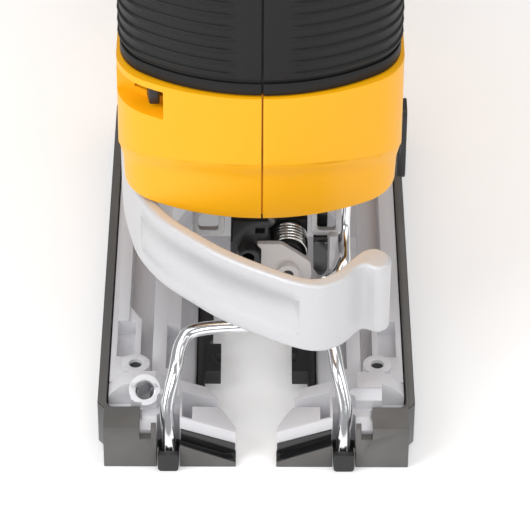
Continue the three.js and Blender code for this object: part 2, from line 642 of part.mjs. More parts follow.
function bladeLever() {
  const curve = new THREE.SplineCurve([...LEVER_FACE, [-26, 0]].map(([x, y]) => new THREE.Vector2(x, y)));
  const outline = new THREE.Shape(curve.getPoints(96));
  const band = alongZ(outline, LEVER.bottom, LEVER.top);
  const hub = rod('z', [LEVER.pivotX, LEVER.pivotY], LEVER.hub, LEVER.bottom, LEVER.top, 28);
  const bore = rod('z', [LEVER.pivotX, LEVER.pivotY], LEVER.pin + GAP, 30, 60, 20);
  return cut(unite(band, hub), bore);
}

add('blade_lever', bladeLever(), FINISH.castAluminium);
add('lever_pivot_pin', unite(
  rod('z', [LEVER.pivotX, LEVER.pivotY], LEVER.pin, 32.4, 56.4, 20),
  rod('z', [LEVER.pivotX, LEVER.pivotY], 3.6, 31.6, 33.4, 20),
), FINISH.steel);

// ---------------------------------------------------------------- shoe
// Outer plan of the sole: full width behind the front corners, which step in slightly.
function solePlan(inset) {
  const s = SHOE;
  const i = inset;
  return polygon([
    [-s.frontHalfWidth + i, -s.halfLength + i], [s.frontHalfWidth - i, -s.halfLength + i],
    [s.frontHalfWidth - i, s.noseEnd - 1], [s.halfWidth - i, s.noseEnd + 1],
    [s.halfWidth - i, s.halfLength - 3], [s.halfWidth - 3 - i, s.halfLength - i],
    [-s.halfWidth + 3 + i, s.halfLength - i], [-s.halfWidth + i, s.halfLength - 3],
    [-s.halfWidth + i, s.noseEnd + 1], [-s.frontHalfWidth + i, s.noseEnd - 1],
  ]);
}

// Right-hand edge of the blade slot, front to back; grow widens it.
function slotPlan(grow) {
  const s = SHOE;
  const edge = [
    [s.slotNeck, -70], [s.slotNeck, -61], [6.6, -57.6], [8.8, -54.6], [8.8, -52.4], [11.2, -49.4],
    [s.slotWide, -47.6], [s.slotWide, -30], [s.slotMid, -27], [s.slotMid, s.slotEnd],
  ].map(([x, y]) => [x + grow, y]);
  const back = edge.map(([x, y]) => [-x, y]).reverse();
  return polygon([...edge, ...back]);
}

const WIRE_NOTCH = { inner: 17.3, outer: 22.6, back: -58 };

function wireNotches(z0) {
  const n = WIRE_NOTCH;
  return bothSides(alongZ(rectangle(n.inner, n.outer, -70, n.back, 1), z0, 30));
}

function soleCover() {
  const s = SHOE;
  const tray = cut(alongZ(solePlan(0), 0, s.wallHeight), alongZ(solePlan(s.wall), s.sole, 40));
  const tab = box(26.4, s.frontHalfWidth - 0.05, -s.halfLength, s.noseEnd - 0.3, 9.7, s.wallHeight);
  const tabWall = box(26.4, s.frontHalfWidth - 0.05, -s.halfLength, -62.9, 0.5, 10);
  const dip = alongY(polygon([
    [-19, 7.2], [-4, 1.2], [4, 1.2], [19, 7.2], [19, 30], [-19, 30],
  ]), -70, -60);
  const lightening = alongY(rectangle(23.8, 26.4, 8.2, 30), -70, -60);
  const tunnel = box(-18.4, 18.4, BEVEL.frontY - 4, 70, -2, 40);
  const foot = alongZ(slotPlan(0), -2, 30);
  return cut(
    unite(tray, bothSides(tab), bothSides(tabWall)),
    dip, bothSides(lightening), foot, tunnel, wireNotches(-1),
  );
}

add('sole_cover', soleCover(), FINISH.soleCover);

// Stepped black liner on both sides of the slot, behind the feet.
function slotLiner(side) {
  const wall = alongZ(polygon([
    [SHOE.slotWide, -46.6], [13.6, -46.6], [13.6, -4.6], [SHOE.slotMid, -4.6], [SHOE.slotMid, -27],
    [SHOE.slotWide, -30],
  ]), SHOE.sole + GAP, 6.4);
  const tooth = box(8.3, 12.6, -38.5, -28.3, SHOE.sole + GAP, 6.2);
  const notch = box(8, 9.4, -35, -32, 4.6, 8);
  const forkRoom = box(9, 15, -21.5, 0, 3.2, 8);
  const piece = cut(unite(wall, tooth), notch, forkRoom);
  return side > 0 ? piece : mirrored(piece);
}

add('slot_liner_left', slotLiner(1), FINISH.darkPlastic);
add('slot_liner_right', slotLiner(-1), FINISH.darkPlastic);

const HOLE = { at: [27.9, -43.4], radius: 1.55, boss: 3.3, top: 12.6 };

// Left half of the casting; the right half is its mirror image.
function castingHalf() {
  const edge = SHOE.halfWidth - SHOE.wall - GAP;
  const bottom = SHOE.sole + GAP;
  const front = alongY(polygon([
    [14, bottom], [edge, bottom], [edge, 11], [30, 11], [29.6, 5.4], [24.6, 5.4], [24.2, 10],
    [17.8, 10], [14, 5.4],
  ]), -48, 8);
  const rear = alongY(polygon([
    [15, bottom], [edge, bottom], [edge, 11], [30, 11], [29.6, 5.4], [24.6, 5.4], [24.2, 8.6],
    [21.8, 7], [15, 5],
  ]), 7.9, 62);
  const foot = alongY(polygon([
    [4, bottom], [34, bottom], [34, 10.8], [21, 12.6], [17.6, 12.9], [4, 8.1],
  ]), -62.6, -49.6);
  const hump = alongY(polygon([
    [20.8, 8], [34, 8], [34, 10.9], [32.6, 12.6], [30.6, 14.4], [28.4, 15.2], [23, 15.2], [20.8, 13.6],
  ]), -60, -49.2);
  const block = alongZ(polygon([
    [27, -50], [33.8, -50], [33.8, -20], [29.8, -20], [27, -25],
  ]), bottom, 10.6);
  const recess = box(28.3, 32.5, -39, -25.8, 7, 30);
  const boss = rod('z', HOLE.at, HOLE.boss, 2.4, HOLE.top, 28);
  return cut(unite(front, rear, foot, hump, block), recess).add(boss);
}

// The tapped hole leans forwards out of the right-hand hump; its mouth is at `at`.
const FACE_TILT = 0.72;
const TAPPED = { at: [-25.4, -54.7, 14.2], radius: 2.35, boss: 3.6 };

function tilted(radius, above, below) {
  const geometry = new THREE.CylinderGeometry(radius, radius, above + below, 28);
  geometry.translate(0, (above - below) / 2, 0).rotateX(Math.PI / 2 + FACE_TILT);
  return toSolid(geometry.translate(...TAPPED.at));
}

function shoeCasting() {
  const n = WIRE_NOTCH;
  const sides = bothSides(castingHalf());
  const arch = cut(
    rod('y', [0, 0], BEVEL.arch, BEVEL.frontY, BEVEL.backY, 40),
    rod('y', [0, 0], BEVEL.arch - BEVEL.archWall, 0, 80, 40),
    box(-40, 40, 0, 80, -40, SHOE.sole + GAP),
  );
  const boltSlot = sector(30, 10, 0.98, BEVEL.boltY - 3.6, BEVEL.boltY + 3.6);
  const bridge = box(-17, 17, SHOE.slotEnd + 0.3, 13.6, SHOE.sole + GAP, 6);
  const tunnel = box(-18.2, 18.2, 13.7, 70, -2, 9).intersect(
    rod('y', [0, 0], BEVEL.arch - BEVEL.archWall, 0, 80, 48),
  );
  const plan = alongZ(solePlan(SHOE.wall + GAP), 0, 60);
  const pocket = alongZ(polygon([
    [8, -55.2], [14.5, -57.7], [14.5, -62], [16.8, -62], [16.8, -53.4], [8, -53.3],
  ]), 3.4, 30);
  const faceUndercut = alongY(polygon([[2, 0], [21, 0], [21, 10.8], [2, 4.1]]), -64, -61.9);
  const scoop = box(28.6, 40, -70, -53.4, 8.8, 30);
  const landPocket = box(18.2, 21, -42, -26, 6.4, 20);
  const through = rod('z', HOLE.at, HOLE.radius, 0, 30, 20);
  const step = box(20.8, 34, -70, -56.2, 10, 30);
  const frontDrop = toSolid(
    new THREE.BoxGeometry(20, 10, 16).rotateX(FACE_TILT).translate(31.2, -63.1, 17.1),
  );
  const tappedBoss = tilted(TAPPED.boss, 0, 6);
  const tapped = tilted(TAPPED.radius, 2, 9);
  const tabBed = box(26, 40, -70, SHOE.noseEnd + 0.2, 9.4, 30);
  const shaped = cut(unite(sides, bridge, arch), bothSides(unite(scoop, frontDrop, step)));
  return cut(
    unite(shaped, tappedBoss).intersect(plan),
    alongZ(slotPlan(0.05), -2, 30), tunnel, boltSlot, wireNotches(1.3),
    bothSides(alongZ(rectangle(n.inner, n.outer, -60, -55.2, 1), 10, 30)),
    bothSides(unite(pocket, faceUndercut, landPocket, through, tabBed)), tapped,
  );
}

add('shoe_casting', shoeCasting(), FINISH.castAluminium);

// Bent wire in front of the blade, hooked into the front notches.
function wireGuard() {
  const w = WIRE;
  const leg = [
    [w.tipX, -63, 3.6], [w.tipX + 0.3, -61.6, 8], [w.tipX + 0.5, -59, 13], [w.tipX - 1.2, -54.6, 19.4],
    [w.cornerX + 1.6, -48.6, 22.8], [w.cornerX - 1.6, w.barY - 0.4, w.barZ],
  ];
  const across = leg.map(([x, y, z]) => [-x, y, z]).reverse();
  const middle = [[4, w.barY + 0.4, w.barZ + 0.7], [-4, w.barY + 0.4, w.barZ + 0.7]];
  return bar([...leg, ...middle, ...across], w.radius, 40, 5);
}

add('wire_guard', wireGuard(), FINISH.chrome);

// Black pad that closes each front notch round the end of the wire.
function wirePad() {
  const n = WIRE_NOTCH;
  const face = alongY(rounded([
    [n.inner + GAP, 0.1, 1], [n.outer - GAP, 0.1, 1], [n.outer - GAP, 4.8, 0.4], [n.inner + GAP, 4.8, 0.4],
  ]), -66.6, -65);
  const floor = box(n.inner + GAP, n.outer - GAP, -65.1, n.back - GAP, 0.1, 1.6);
  return unite(face, floor);
}

add('wire_pad_left', wirePad(), FINISH.darkPlastic);
add('wire_pad_right', mirrored(wirePad()), FINISH.darkPlastic);

function bevelBolt() {
  const shank = rod('z', [0, BEVEL.boltY], 3, 15, 38, 16);
  const head = rod('z', [0, BEVEL.boltY], 5.4, 11, 15.6, 24);
  return cut(unite(shank, head), rod('z', [0, BEVEL.boltY], 2.6, 9, 13.5, 6));
}

add('bevel_bolt', bevelBolt(), FINISH.darkSteel);

// ---------------------------------------------------------------- controls
function trigger() {
  const face = alongX(rounded([
    [16, 162, 1], [16, 152, 2], [19, 146.6, 4], [30, 147.5, 5], [40, 152, 3], [41, 162, 1],
  ]), -5.9, 5.9);
  return face;
}

add('trigger', trigger(), FINISH.black);
add('lock_button', rod('x', LOCK, 4, -20.5, 20.5, 20), FINISH.darkPlastic);
add('speed_dial', ring('x', DIAL.at, DIAL.radius, 2.4, -DIAL.half, DIAL.half, 32), FINISH.darkPlastic);
add('blower_slider', unite(
  alongZ(polygon([[-24.5, -29.6], [-21.6, -31.3], [-21.5, -33.4], [-23.8, -33.4]]), 78.4, 83.2),
  alongZ(polygon([[-23.8, -30.2], [-22.6, -31], [-20.4, -27.2], [-21.6, -26.4]]), 79.4, 81.8),
), FINISH.darkPlastic);
add('switch_body', box(-8.5, 8.5, 46, 68, 167.5, 178), FINISH.darkPlastic);
add('controller_module', box(-11, 11, 97, 108, 112, 132), FINISH.darkPlastic);
add('terminal_block', unite(
  box(-17, 17, 104, 118, 85, 103), box(-16, 16, 117.9, 121, 88, 100), box(-13, 13, 120.9, 134, 90, 98),
), FINISH.darkPlastic);

// ---------------------------------------------------------------- battery
function batteryOutline(inset, z0, z1) {
  const b = BATTERY;
  return alongZ(rectangle(
    inset - b.halfWidth, b.halfWidth - inset, b.front + inset, b.back - inset, 9,
  ), z0, z1);
}

function batteryLower() {
  const b = BATTERY;
  return cut(batteryOutline(0, b.bottom, b.seam - 0.2), batteryOutline(2.4, b.bottom + 2.4, b.seam + 1));
}

const BUTTON = { y: 150, z: 98, halfLength: 8, halfHeight: 5 };

function batteryUpper() {
  const b = BATTERY;
  const top = cut(
    batteryOutline(0, b.seam + 0.2, b.top), batteryOutline(2.4, b.seam - 1, b.top - 2.4),
  );
  const k = BUTTON;
  const buttons = box(-60, 60, k.y - k.halfLength - GAP, k.y + k.halfLength + GAP,
    k.z - k.halfHeight - GAP, k.z + k.halfHeight + GAP);
  const socket = box(-19, 19, 100, 124, 84, 104);
  return cut(top, buttons, socket);
}

add('battery_lower', batteryLower(), FINISH.black);
add('battery_upper', batteryUpper(), FINISH.black);
for (let i = 0; i < 3; i += 1) {
  add(`battery_cell_${i + 1}`, rod('x', [135 + i * 18.6, 75], 9, -32.5, 32.5, 20), FINISH.cell);
}

function releaseButton(side) {
  const k = BUTTON;
  const x = BATTERY.halfWidth;
  const outline = rectangle(
    k.y - k.halfLength, k.y + k.halfLength, k.z - k.halfHeight, k.z + k.halfHeight, 2,
  );
  const face = alongX(outline, x - 5, x + 1);
  return side > 0 ? face : mirrored(face);
}

add('release_button_left', releaseButton(1), FINISH.darkPlastic);
add('release_button_right', releaseButton(-1), FINISH.darkPlastic);

export default group;
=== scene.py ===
"""Looks of a cordless top-handle jigsaw: fine geometry, finishes, studio and camera."""

import json
import logging
import math
from dataclasses import dataclass
from enum import Enum
from typing import Any, Sequence

import bmesh
import bpy
from mathutils import Matrix, Vector


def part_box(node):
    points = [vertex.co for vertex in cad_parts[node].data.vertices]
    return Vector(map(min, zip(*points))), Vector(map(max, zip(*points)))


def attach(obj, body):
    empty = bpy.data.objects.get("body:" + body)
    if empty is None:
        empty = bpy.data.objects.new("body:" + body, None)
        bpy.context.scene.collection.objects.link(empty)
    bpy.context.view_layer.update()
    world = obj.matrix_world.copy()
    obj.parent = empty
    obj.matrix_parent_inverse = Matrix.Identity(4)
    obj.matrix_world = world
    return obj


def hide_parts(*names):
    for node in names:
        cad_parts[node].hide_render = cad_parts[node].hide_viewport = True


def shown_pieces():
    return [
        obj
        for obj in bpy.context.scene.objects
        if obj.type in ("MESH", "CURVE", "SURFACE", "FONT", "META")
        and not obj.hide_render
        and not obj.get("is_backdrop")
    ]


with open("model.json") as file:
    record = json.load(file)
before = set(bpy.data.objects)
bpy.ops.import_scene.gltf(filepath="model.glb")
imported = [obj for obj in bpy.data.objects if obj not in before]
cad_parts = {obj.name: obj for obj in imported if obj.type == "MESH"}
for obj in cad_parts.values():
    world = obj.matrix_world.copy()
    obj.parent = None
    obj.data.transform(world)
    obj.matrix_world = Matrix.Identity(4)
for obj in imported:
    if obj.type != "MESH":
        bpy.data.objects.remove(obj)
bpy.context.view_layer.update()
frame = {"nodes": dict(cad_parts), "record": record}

LOG = logging.getLogger("jigsaw")
MM = 0.001
MERGE_DISTANCE = 4e-6
FLAT_ANGLE = math.radians(0.6)
SIDES = (("left", 1.0), ("right", -1.0))
NO_TURN = (0.0, 0.0, 0.0)
Socket = bpy.types.NodeSocket
Colour = tuple[float, float, float]


# ---------------------------------------------------------------- node graphs
class Graph:
    """A node tree that is being written: it adds nodes, sets them and links their sockets."""

    def __init__(self, tree: bpy.types.NodeTree) -> None:
        """Starts on an empty tree.

        Args:
            tree: the material or geometry tree to fill.
        """
        self.tree = tree

    def add(self, kind: str, settings: dict[str, Any] | None = None, **inputs: Any) -> bpy.types.Node:
        """Adds one node.

        Args:
            kind: the node's type name.
            settings: properties set first, such as a Math node's operation.
            inputs: socket values or links, by socket name with spaces as underscores, or _N for socket N.

        Returns:
            The new node.
        """
        node = self.tree.nodes.new(kind)
        for key, value in (settings or {}).items():
            setattr(node, key, value)
        for key, value in inputs.items():
            self.put(self._socket(node, key), value)
        return node

    @staticmethod
    def _socket(node: bpy.types.Node, key: str) -> Socket:
        """Finds an input socket by number (_N) or by name."""
        if key.startswith("_") and key[1:].isdigit():
            return node.inputs[int(key[1:])]
        name = key.replace("_", " ").lower()
        return next(s for s in node.inputs if s.name.lower() == name and s.enabled)

    def put(self, socket: Socket, value: Any) -> None:
        """Links a socket, or sets its own value.

        Args:
            socket: the input to fill.
            value: a Term, an output socket, or a plain value.
        """
        if isinstance(value, Term):
            value = value.out
        if isinstance(value, bpy.types.NodeSocket):
            self.tree.links.new(value, socket)
        else:
            socket.default_value = value


class Term:
    """A number that a node gives, with Python's operators standing for Math nodes."""

    def __init__(self, graph: Graph, out: Socket) -> None:
        """Wraps an output socket."""
        self.graph = graph
        self.out = out

    def _math(self, operation: str, first: Any, second: Any = 0.0) -> "Term":
        """Adds a Math node.

        Args:
            operation: the Math node's operation.
            first: its first value.
            second: its second value.

        Returns:
            The node's result.
        """
        node = self.graph.add("ShaderNodeMath", {"operation": operation}, _0=first, _1=second)
        return Term(self.graph, node.outputs[0])

    def __add__(self, other: Any) -> "Term":
        """Sum."""
        return self._math("ADD", self, other)

    def __radd__(self, other: Any) -> "Term":
        """Sum, reflected."""
        return self._math("ADD", other, self)

    def __sub__(self, other: Any) -> "Term":
        """Difference."""
        return self._math("SUBTRACT", self, other)

    def __rsub__(self, other: Any) -> "Term":
        """Difference, reflected."""
        return self._math("SUBTRACT", other, self)

    def __mul__(self, other: Any) -> "Term":
        """Product."""
        return self._math("MULTIPLY", self, other)

    def __rmul__(self, other: Any) -> "Term":
        """Product, reflected."""
        return self._math("MULTIPLY", other, self)

    def ramp(self, low: float, high: float) -> "Term":
        """Rises from 0 at low to 1 at high, and stays between them."""
        node = self.graph.add(
            "ShaderNodeMapRange", {"clamp": True, "interpolation_type": "SMOOTHSTEP"},
            Value=self, From_Min=low, From_Max=high, To_Min=0.0, To_Max=1.0,
        )
        return Term(self.graph, node.outputs[0])


# ---------------------------------------------------------------- finishes
@dataclass(frozen=True)
class Finish:
    """A procedural surface: base colour with fine variation, grain in the bump and wear on the edges.

    Lengths are in metres; noise scales are in cycles a metre. Wear shows between the two edge_rise values of
    the pointiness, where the broad noise is between the two patch_rise values.
    """

    name: str
    colour: Colour
    roughness: float
    metallic: float = 0.0
    coat: float = 0.0
    variation: float = 0.06
    grain_scale: float = 1800.0
    grain_depth: float = 0.00004
    grain_strength: float = 0.25
    roughness_spread: float = 0.08
    edge_colour: Colour | None = None
    edge_amount: float = 0.0
    brushed: tuple[float, float, float] = (1.0, 1.0, 1.0)
    specular: float = 0.5
    patch_scale: float = 45.0
    fine_share: float = 0.6
    coat_roughness: float = 0.15
    edge_rise: tuple[float, float] = (0.52, 0.60)
    patch_rise: tuple[float, float] = (0.35, 0.65)
    edge_roughness: float = 0.08

    def build(self) -> bpy.types.Material:
        """Writes the material.

        Returns:
            The material, ready to assign.
        """
        material = bpy.data.materials.new(self.name)
        material.use_nodes = True
        material.node_tree.nodes.clear()
        graph = Graph(material.node_tree)
        place = graph.add("ShaderNodeTexCoord").outputs["Object"]
        stretched = graph.add("ShaderNodeMapping", None, Vector=place, Scale=self.brushed)
        large = self._noise(graph, place, self.patch_scale, 3.0)
        fine = self._noise(graph, stretched.outputs[0], self.grain_scale, 2.0)
        fine_variation = self.variation * self.fine_share
        tint = (large - 0.5) * self.variation + (fine - 0.5) * fine_variation + 1.0
        colour = self._tinted(graph, tint)
        rough = (large - 0.5) * self.roughness_spread + (fine - 0.5) * self.roughness_spread + self.roughness
        if self.edge_colour is not None:
            colour, rough = self._worn(graph, colour, rough, large)
        bump = graph.add(
            "ShaderNodeBump", None, Strength=self.grain_strength, Distance=self.grain_depth, Height=fine,
        )
        shader = graph.add("ShaderNodeBsdfPrincipled", None, Base_Color=colour, Roughness=rough)
        shader.inputs["Metallic"].default_value = self.metallic
        shader.inputs["Coat Weight"].default_value = self.coat
        shader.inputs["Coat Roughness"].default_value = self.coat_roughness
        shader.inputs["Specular IOR Level"].default_value = self.specular
        graph.put(shader.inputs["Normal"], bump.outputs[0])
        graph.add("ShaderNodeOutputMaterial", None, Surface=shader.outputs[0])
        return material

    @staticmethod
    def _noise(graph: Graph, place: Socket, scale: float, detail: float) -> Term:
        """Adds a noise texture.

        Args:
            graph: the material's graph.
            place: the coordinates.
            scale: cycles a metre.
            detail: octaves.

        Returns:
            The noise, about 0 to 1.
        """
        node = graph.add("ShaderNodeTexNoise", None, Vector=place, Scale=scale, Detail=detail)
        return Term(graph, node.outputs["Fac"])

    def _tinted(self, graph: Graph, tint: Term) -> Socket:
        """Multiplies the base colour by a varying brightness.

        Args:
            graph: the material's graph.
            tint: the brightness, about 1.

        Returns:
            The colour socket.
        """
        grey = graph.add("ShaderNodeCombineColor", None, Red=tint, Green=tint, Blue=tint)
        mix = graph.add(
            "ShaderNodeMix", {"data_type": "RGBA", "blend_type": "MULTIPLY"},
            _0=1.0, _6=(*self.colour, 1.0), _7=grey.outputs[0],
        )
        return mix.outputs[2]

    def _worn(self, graph: Graph, colour: Socket, rough: Term, large: Term) -> tuple[Socket, Term]:
        """Lightens or darkens convex edges.

        Args:
            graph: the material's graph.
            colour: the colour so far.
            rough: the roughness so far.
            large: broad noise that breaks the wear up.

        Returns:
            The worn colour and roughness.
        """
        point = Term(graph, graph.add("ShaderNodeNewGeometry").outputs["Pointiness"])
        edge = point.ramp(*self.edge_rise) * large.ramp(*self.patch_rise) * self.edge_amount
        mix = graph.add(
            "ShaderNodeMix", {"data_type": "RGBA"}, _0=edge, _6=colour, _7=(*self.edge_colour, 1.0),
        )
        return mix.outputs[2], rough + edge * self.edge_roughness


class Look(Enum):
    """The object's finishes, by the surface they give."""

    YELLOW = Finish(
        "yellow_plastic", (0.93, 0.43, 0.002), 0.40, variation=0.02, grain_scale=2600.0,
        grain_depth=0.00003, grain_strength=0.18, coat=0.05, roughness_spread=0.05, specular=0.35,
    )
    GRIP = Finish(
        "black_grip", (0.0065, 0.0065, 0.0068), 0.50, variation=0.12, grain_scale=2200.0,
        grain_depth=0.00005, grain_strength=0.5, specular=0.30,
    )
    # Dark plastic parts; this finish also fills the shoe's plain holes as painted shade.
    DARK = Finish("dark_plastic", (0.016, 0.016, 0.017), 0.42, variation=0.12, grain_scale=2000.0)
    TRIGGER = Finish("trigger_plastic", (0.020, 0.020, 0.021), 0.38, variation=0.10)
    BATTERY = Finish("battery_plastic", (0.024, 0.024, 0.026), 0.5, variation=0.10, grain_strength=0.5)
    COVER = Finish(
        "sole_cover", (0.088, 0.085, 0.081), 0.50, variation=0.06, grain_scale=1500.0,
        edge_colour=(0.20, 0.19, 0.185), edge_amount=0.4, grain_strength=0.2,
    )
    CAST = Finish(
        "cast_aluminium", (0.66, 0.655, 0.68), 0.50, metallic=0.22, variation=0.05, grain_scale=1300.0,
        grain_depth=0.00009, grain_strength=0.45, roughness_spread=0.12,
    )
    STEEL = Finish(
        "ground_steel", (0.56, 0.56, 0.57), 0.30, metallic=1.0, variation=0.08, brushed=(1.0, 1.0, 0.05),
        grain_scale=1600.0, grain_depth=0.00002,
    )
    BLACK_STEEL = Finish("dark_steel", (0.045, 0.045, 0.048), 0.32, metallic=0.85, variation=0.12)
    CHROME = Finish(
        "chrome", (0.80, 0.81, 0.83), 0.14, metallic=1.0, variation=0.03, grain_depth=0.00001,
        grain_strength=0.1, roughness_spread=0.03,
    )
    COPPER = Finish("copper", (0.62, 0.27, 0.13), 0.34, metallic=0.9, brushed=(1.0, 0.03, 1.0))
    SPRING = Finish(
        "spring_steel", (0.74, 0.74, 0.73), 0.20, metallic=1.0, variation=0.06, grain_depth=0.00001,
    )
    ZINC = Finish(
        "zinc_plate", (0.52, 0.52, 0.525), 0.42, metallic=0.5, variation=0.12, grain_scale=1400.0,
        grain_depth=0.00006, grain_strength=0.5,
    )
    SINTERED = Finish(
        "sintered_steel", (0.55, 0.52, 0.51), 0.46, metallic=0.3, variation=0.05, grain_scale=1900.0,
        grain_depth=0.00003,
    )
    CLAMP = Finish("clamp_steel", (0.022, 0.022, 0.023), 0.30, metallic=0.3, variation=0.15)
    # Gloss black: the own colour of the blade stop and the cover's side rails, and painted shade on the front
    # lip's upward faces and the foot blocks.
    BLACK_AND_SHADE = Finish(
        "gloss_black_and_shade", (0.010, 0.010, 0.011), 0.16, variation=0.10, grain_depth=0.00001, grain_strength=0.1,
        coat=0.4, roughness_spread=0.04,
    )
    LEVER = Finish(
        "blasted_aluminium", (0.60, 0.60, 0.615), 0.46, metallic=0.35, variation=0.06, grain_scale=2200.0,
        grain_depth=0.00011, grain_strength=0.8, roughness_spread=0.10,
    )
    CELL = Finish("cell_wrap", (0.03, 0.16, 0.30), 0.35, variation=0.04)


class Palette:
    """Builds each finish once and hands it out."""

    def __init__(self) -> None:
        """Starts with no material built."""
        self._made: dict[Look, bpy.types.Material] = {}

    def of(self, look: Look) -> bpy.types.Material:
        """Gives a finish's material, built on first use."""
        if look not in self._made:
            self._made[look] = look.value.build()
        return self._made[look]


PALETTE = Palette()


# ---------------------------------------------------------------- meshes
def link(name: str, mesh: bpy.types.Mesh) -> bpy.types.Object:
    """Puts a mesh into the scene as an object at the origin."""
    piece = bpy.data.objects.new(name, mesh)
    bpy.context.scene.collection.objects.link(piece)
    return piece


def link_shape(name: str, shape: bmesh.types.BMesh) -> bpy.types.Object:
    """Turns an edited shape into an object and frees it."""
    mesh = bpy.data.meshes.new(name)
    shape.to_mesh(mesh)
    shape.free()
    return link(name, mesh)


def dress(piece: bpy.types.Object, look: Look) -> None:
    """Gives a piece one finish all over."""
    piece.data.materials.clear()
    piece.data.materials.append(PALETTE.of(look))


def smooth(mesh: bpy.types.Mesh, angle: float = 32.0) -> None:
    """Shades a mesh smooth, with sharp edges past an angle in degrees."""
    for polygon in mesh.polygons:
        polygon.use_smooth = True
    mesh.set_sharp_from_angle(angle=math.radians(angle))


def flatten_modifiers(piece: bpy.types.Object) -> None:
    """Turns a piece's modifiers into its plain mesh."""
    graph = bpy.context.evaluated_depsgraph_get()
    mesh = bpy.data.meshes.new_from_object(piece.evaluated_get(graph), depsgraph=graph)
    piece.modifiers.clear()
    piece.data = mesh


def merged_copy(node: str) -> bpy.types.Object:
    """Copies a CAD node as clean faces.

    Args:
        node: the CAD node's name.

    Returns:
        The new piece, which isn't on a body yet.
    """
    shape = bmesh.new()
    shape.from_mesh(frame["nodes"][node].data)
    bmesh.ops.remove_doubles(shape, verts=shape.verts, dist=MERGE_DISTANCE)
    bmesh.ops.dissolve_limit(
        shape, angle_limit=FLAT_ANGLE, verts=shape.verts, edges=shape.edges, delimit=set(),
    )
    return link_shape(f"{node}_skin", shape)


def round_edges(piece: bpy.types.Object, width: float, segments: int = 2, angle: float = 32.0) -> None:
    """Rounds a piece's edges and shades it smooth.

    Args:
        piece: the piece.
        width: the rounding's width in metres.
        segments: the faces across each rounding.
        angle: the smallest edge angle, in degrees, that is rounded.
    """
    bevel = piece.modifiers.new("edges", "BEVEL")
    bevel.width = width
    bevel.segments = segments
    bevel.limit_method = "ANGLE"
    bevel.angle_limit = math.radians(angle)
    bevel.use_clamp_overlap = True
    bevel.miter_outer = "MITER_ARC"
    flatten_modifiers(piece)
    smooth(piece.data)


def softened(node: str, width: float, segments: int = 2) -> bpy.types.Object:
    """Copies a CAD node as clean faces and rounds its edges."""
    piece = merged_copy(node)
    round_edges(piece, width, segments)
    return piece


def plain_prism(
    name: str, outline: Sequence[tuple[float, float]], axis: str, start: float, end: float,
) -> bpy.types.Object:
    """Makes a straight prism from an outline.

    Args:
        name: the piece's name.
        outline: points in millimetres: (x, z) for axis y, (y, z) for axis x.
        axis: the direction it is drawn along, x or y.
        start: where it starts on the axis, in millimetres.
        end: where it ends.

    Returns:
        The piece.
    """
    shape = bmesh.new()
    ends = []
    for along in (start, end):
        ring = []
        for first, height in outline:
            place = (first, along, height) if axis == "y" else (along, first, height)
            ring.append(shape.verts.new(mm(*place)))
        ends.append(ring)
    shape.faces.new(ends[0])
    shape.faces.new(list(reversed(ends[1])))
    count = len(outline)
    for step in range(count):
        after = (step + 1) % count
        shape.faces.new((ends[0][after], ends[0][step], ends[1][step], ends[1][after]))
    bmesh.ops.recalc_face_normals(shape, faces=shape.faces)
    return link_shape(name, shape)


def body_of(node: str) -> str:
    """Names the body that a CAD node belongs to."""
    bodies = frame["record"]["behaviour"]["bodies"]
    return next(body for body, nodes in bodies.items() if node in nodes)


def stand_for(piece: bpy.types.Object, node: str) -> None:
    """Puts a piece in a CAD node's place, on its body."""
    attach(piece, body_of(node))
    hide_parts(node)


@dataclass
class SoftenedGroup:
    """CAD nodes that keep their shape and get rounded edges and a finish."""

    nodes: Sequence[str]
    look: Look
    width: float = 0.0004
    segments: int = 2

    def build(self) -> None:
        """Makes each node's rounded skin."""
        for node in self.nodes:
            piece = softened(node, self.width, self.segments)
            dress(piece, self.look)
            stand_for(piece, node)


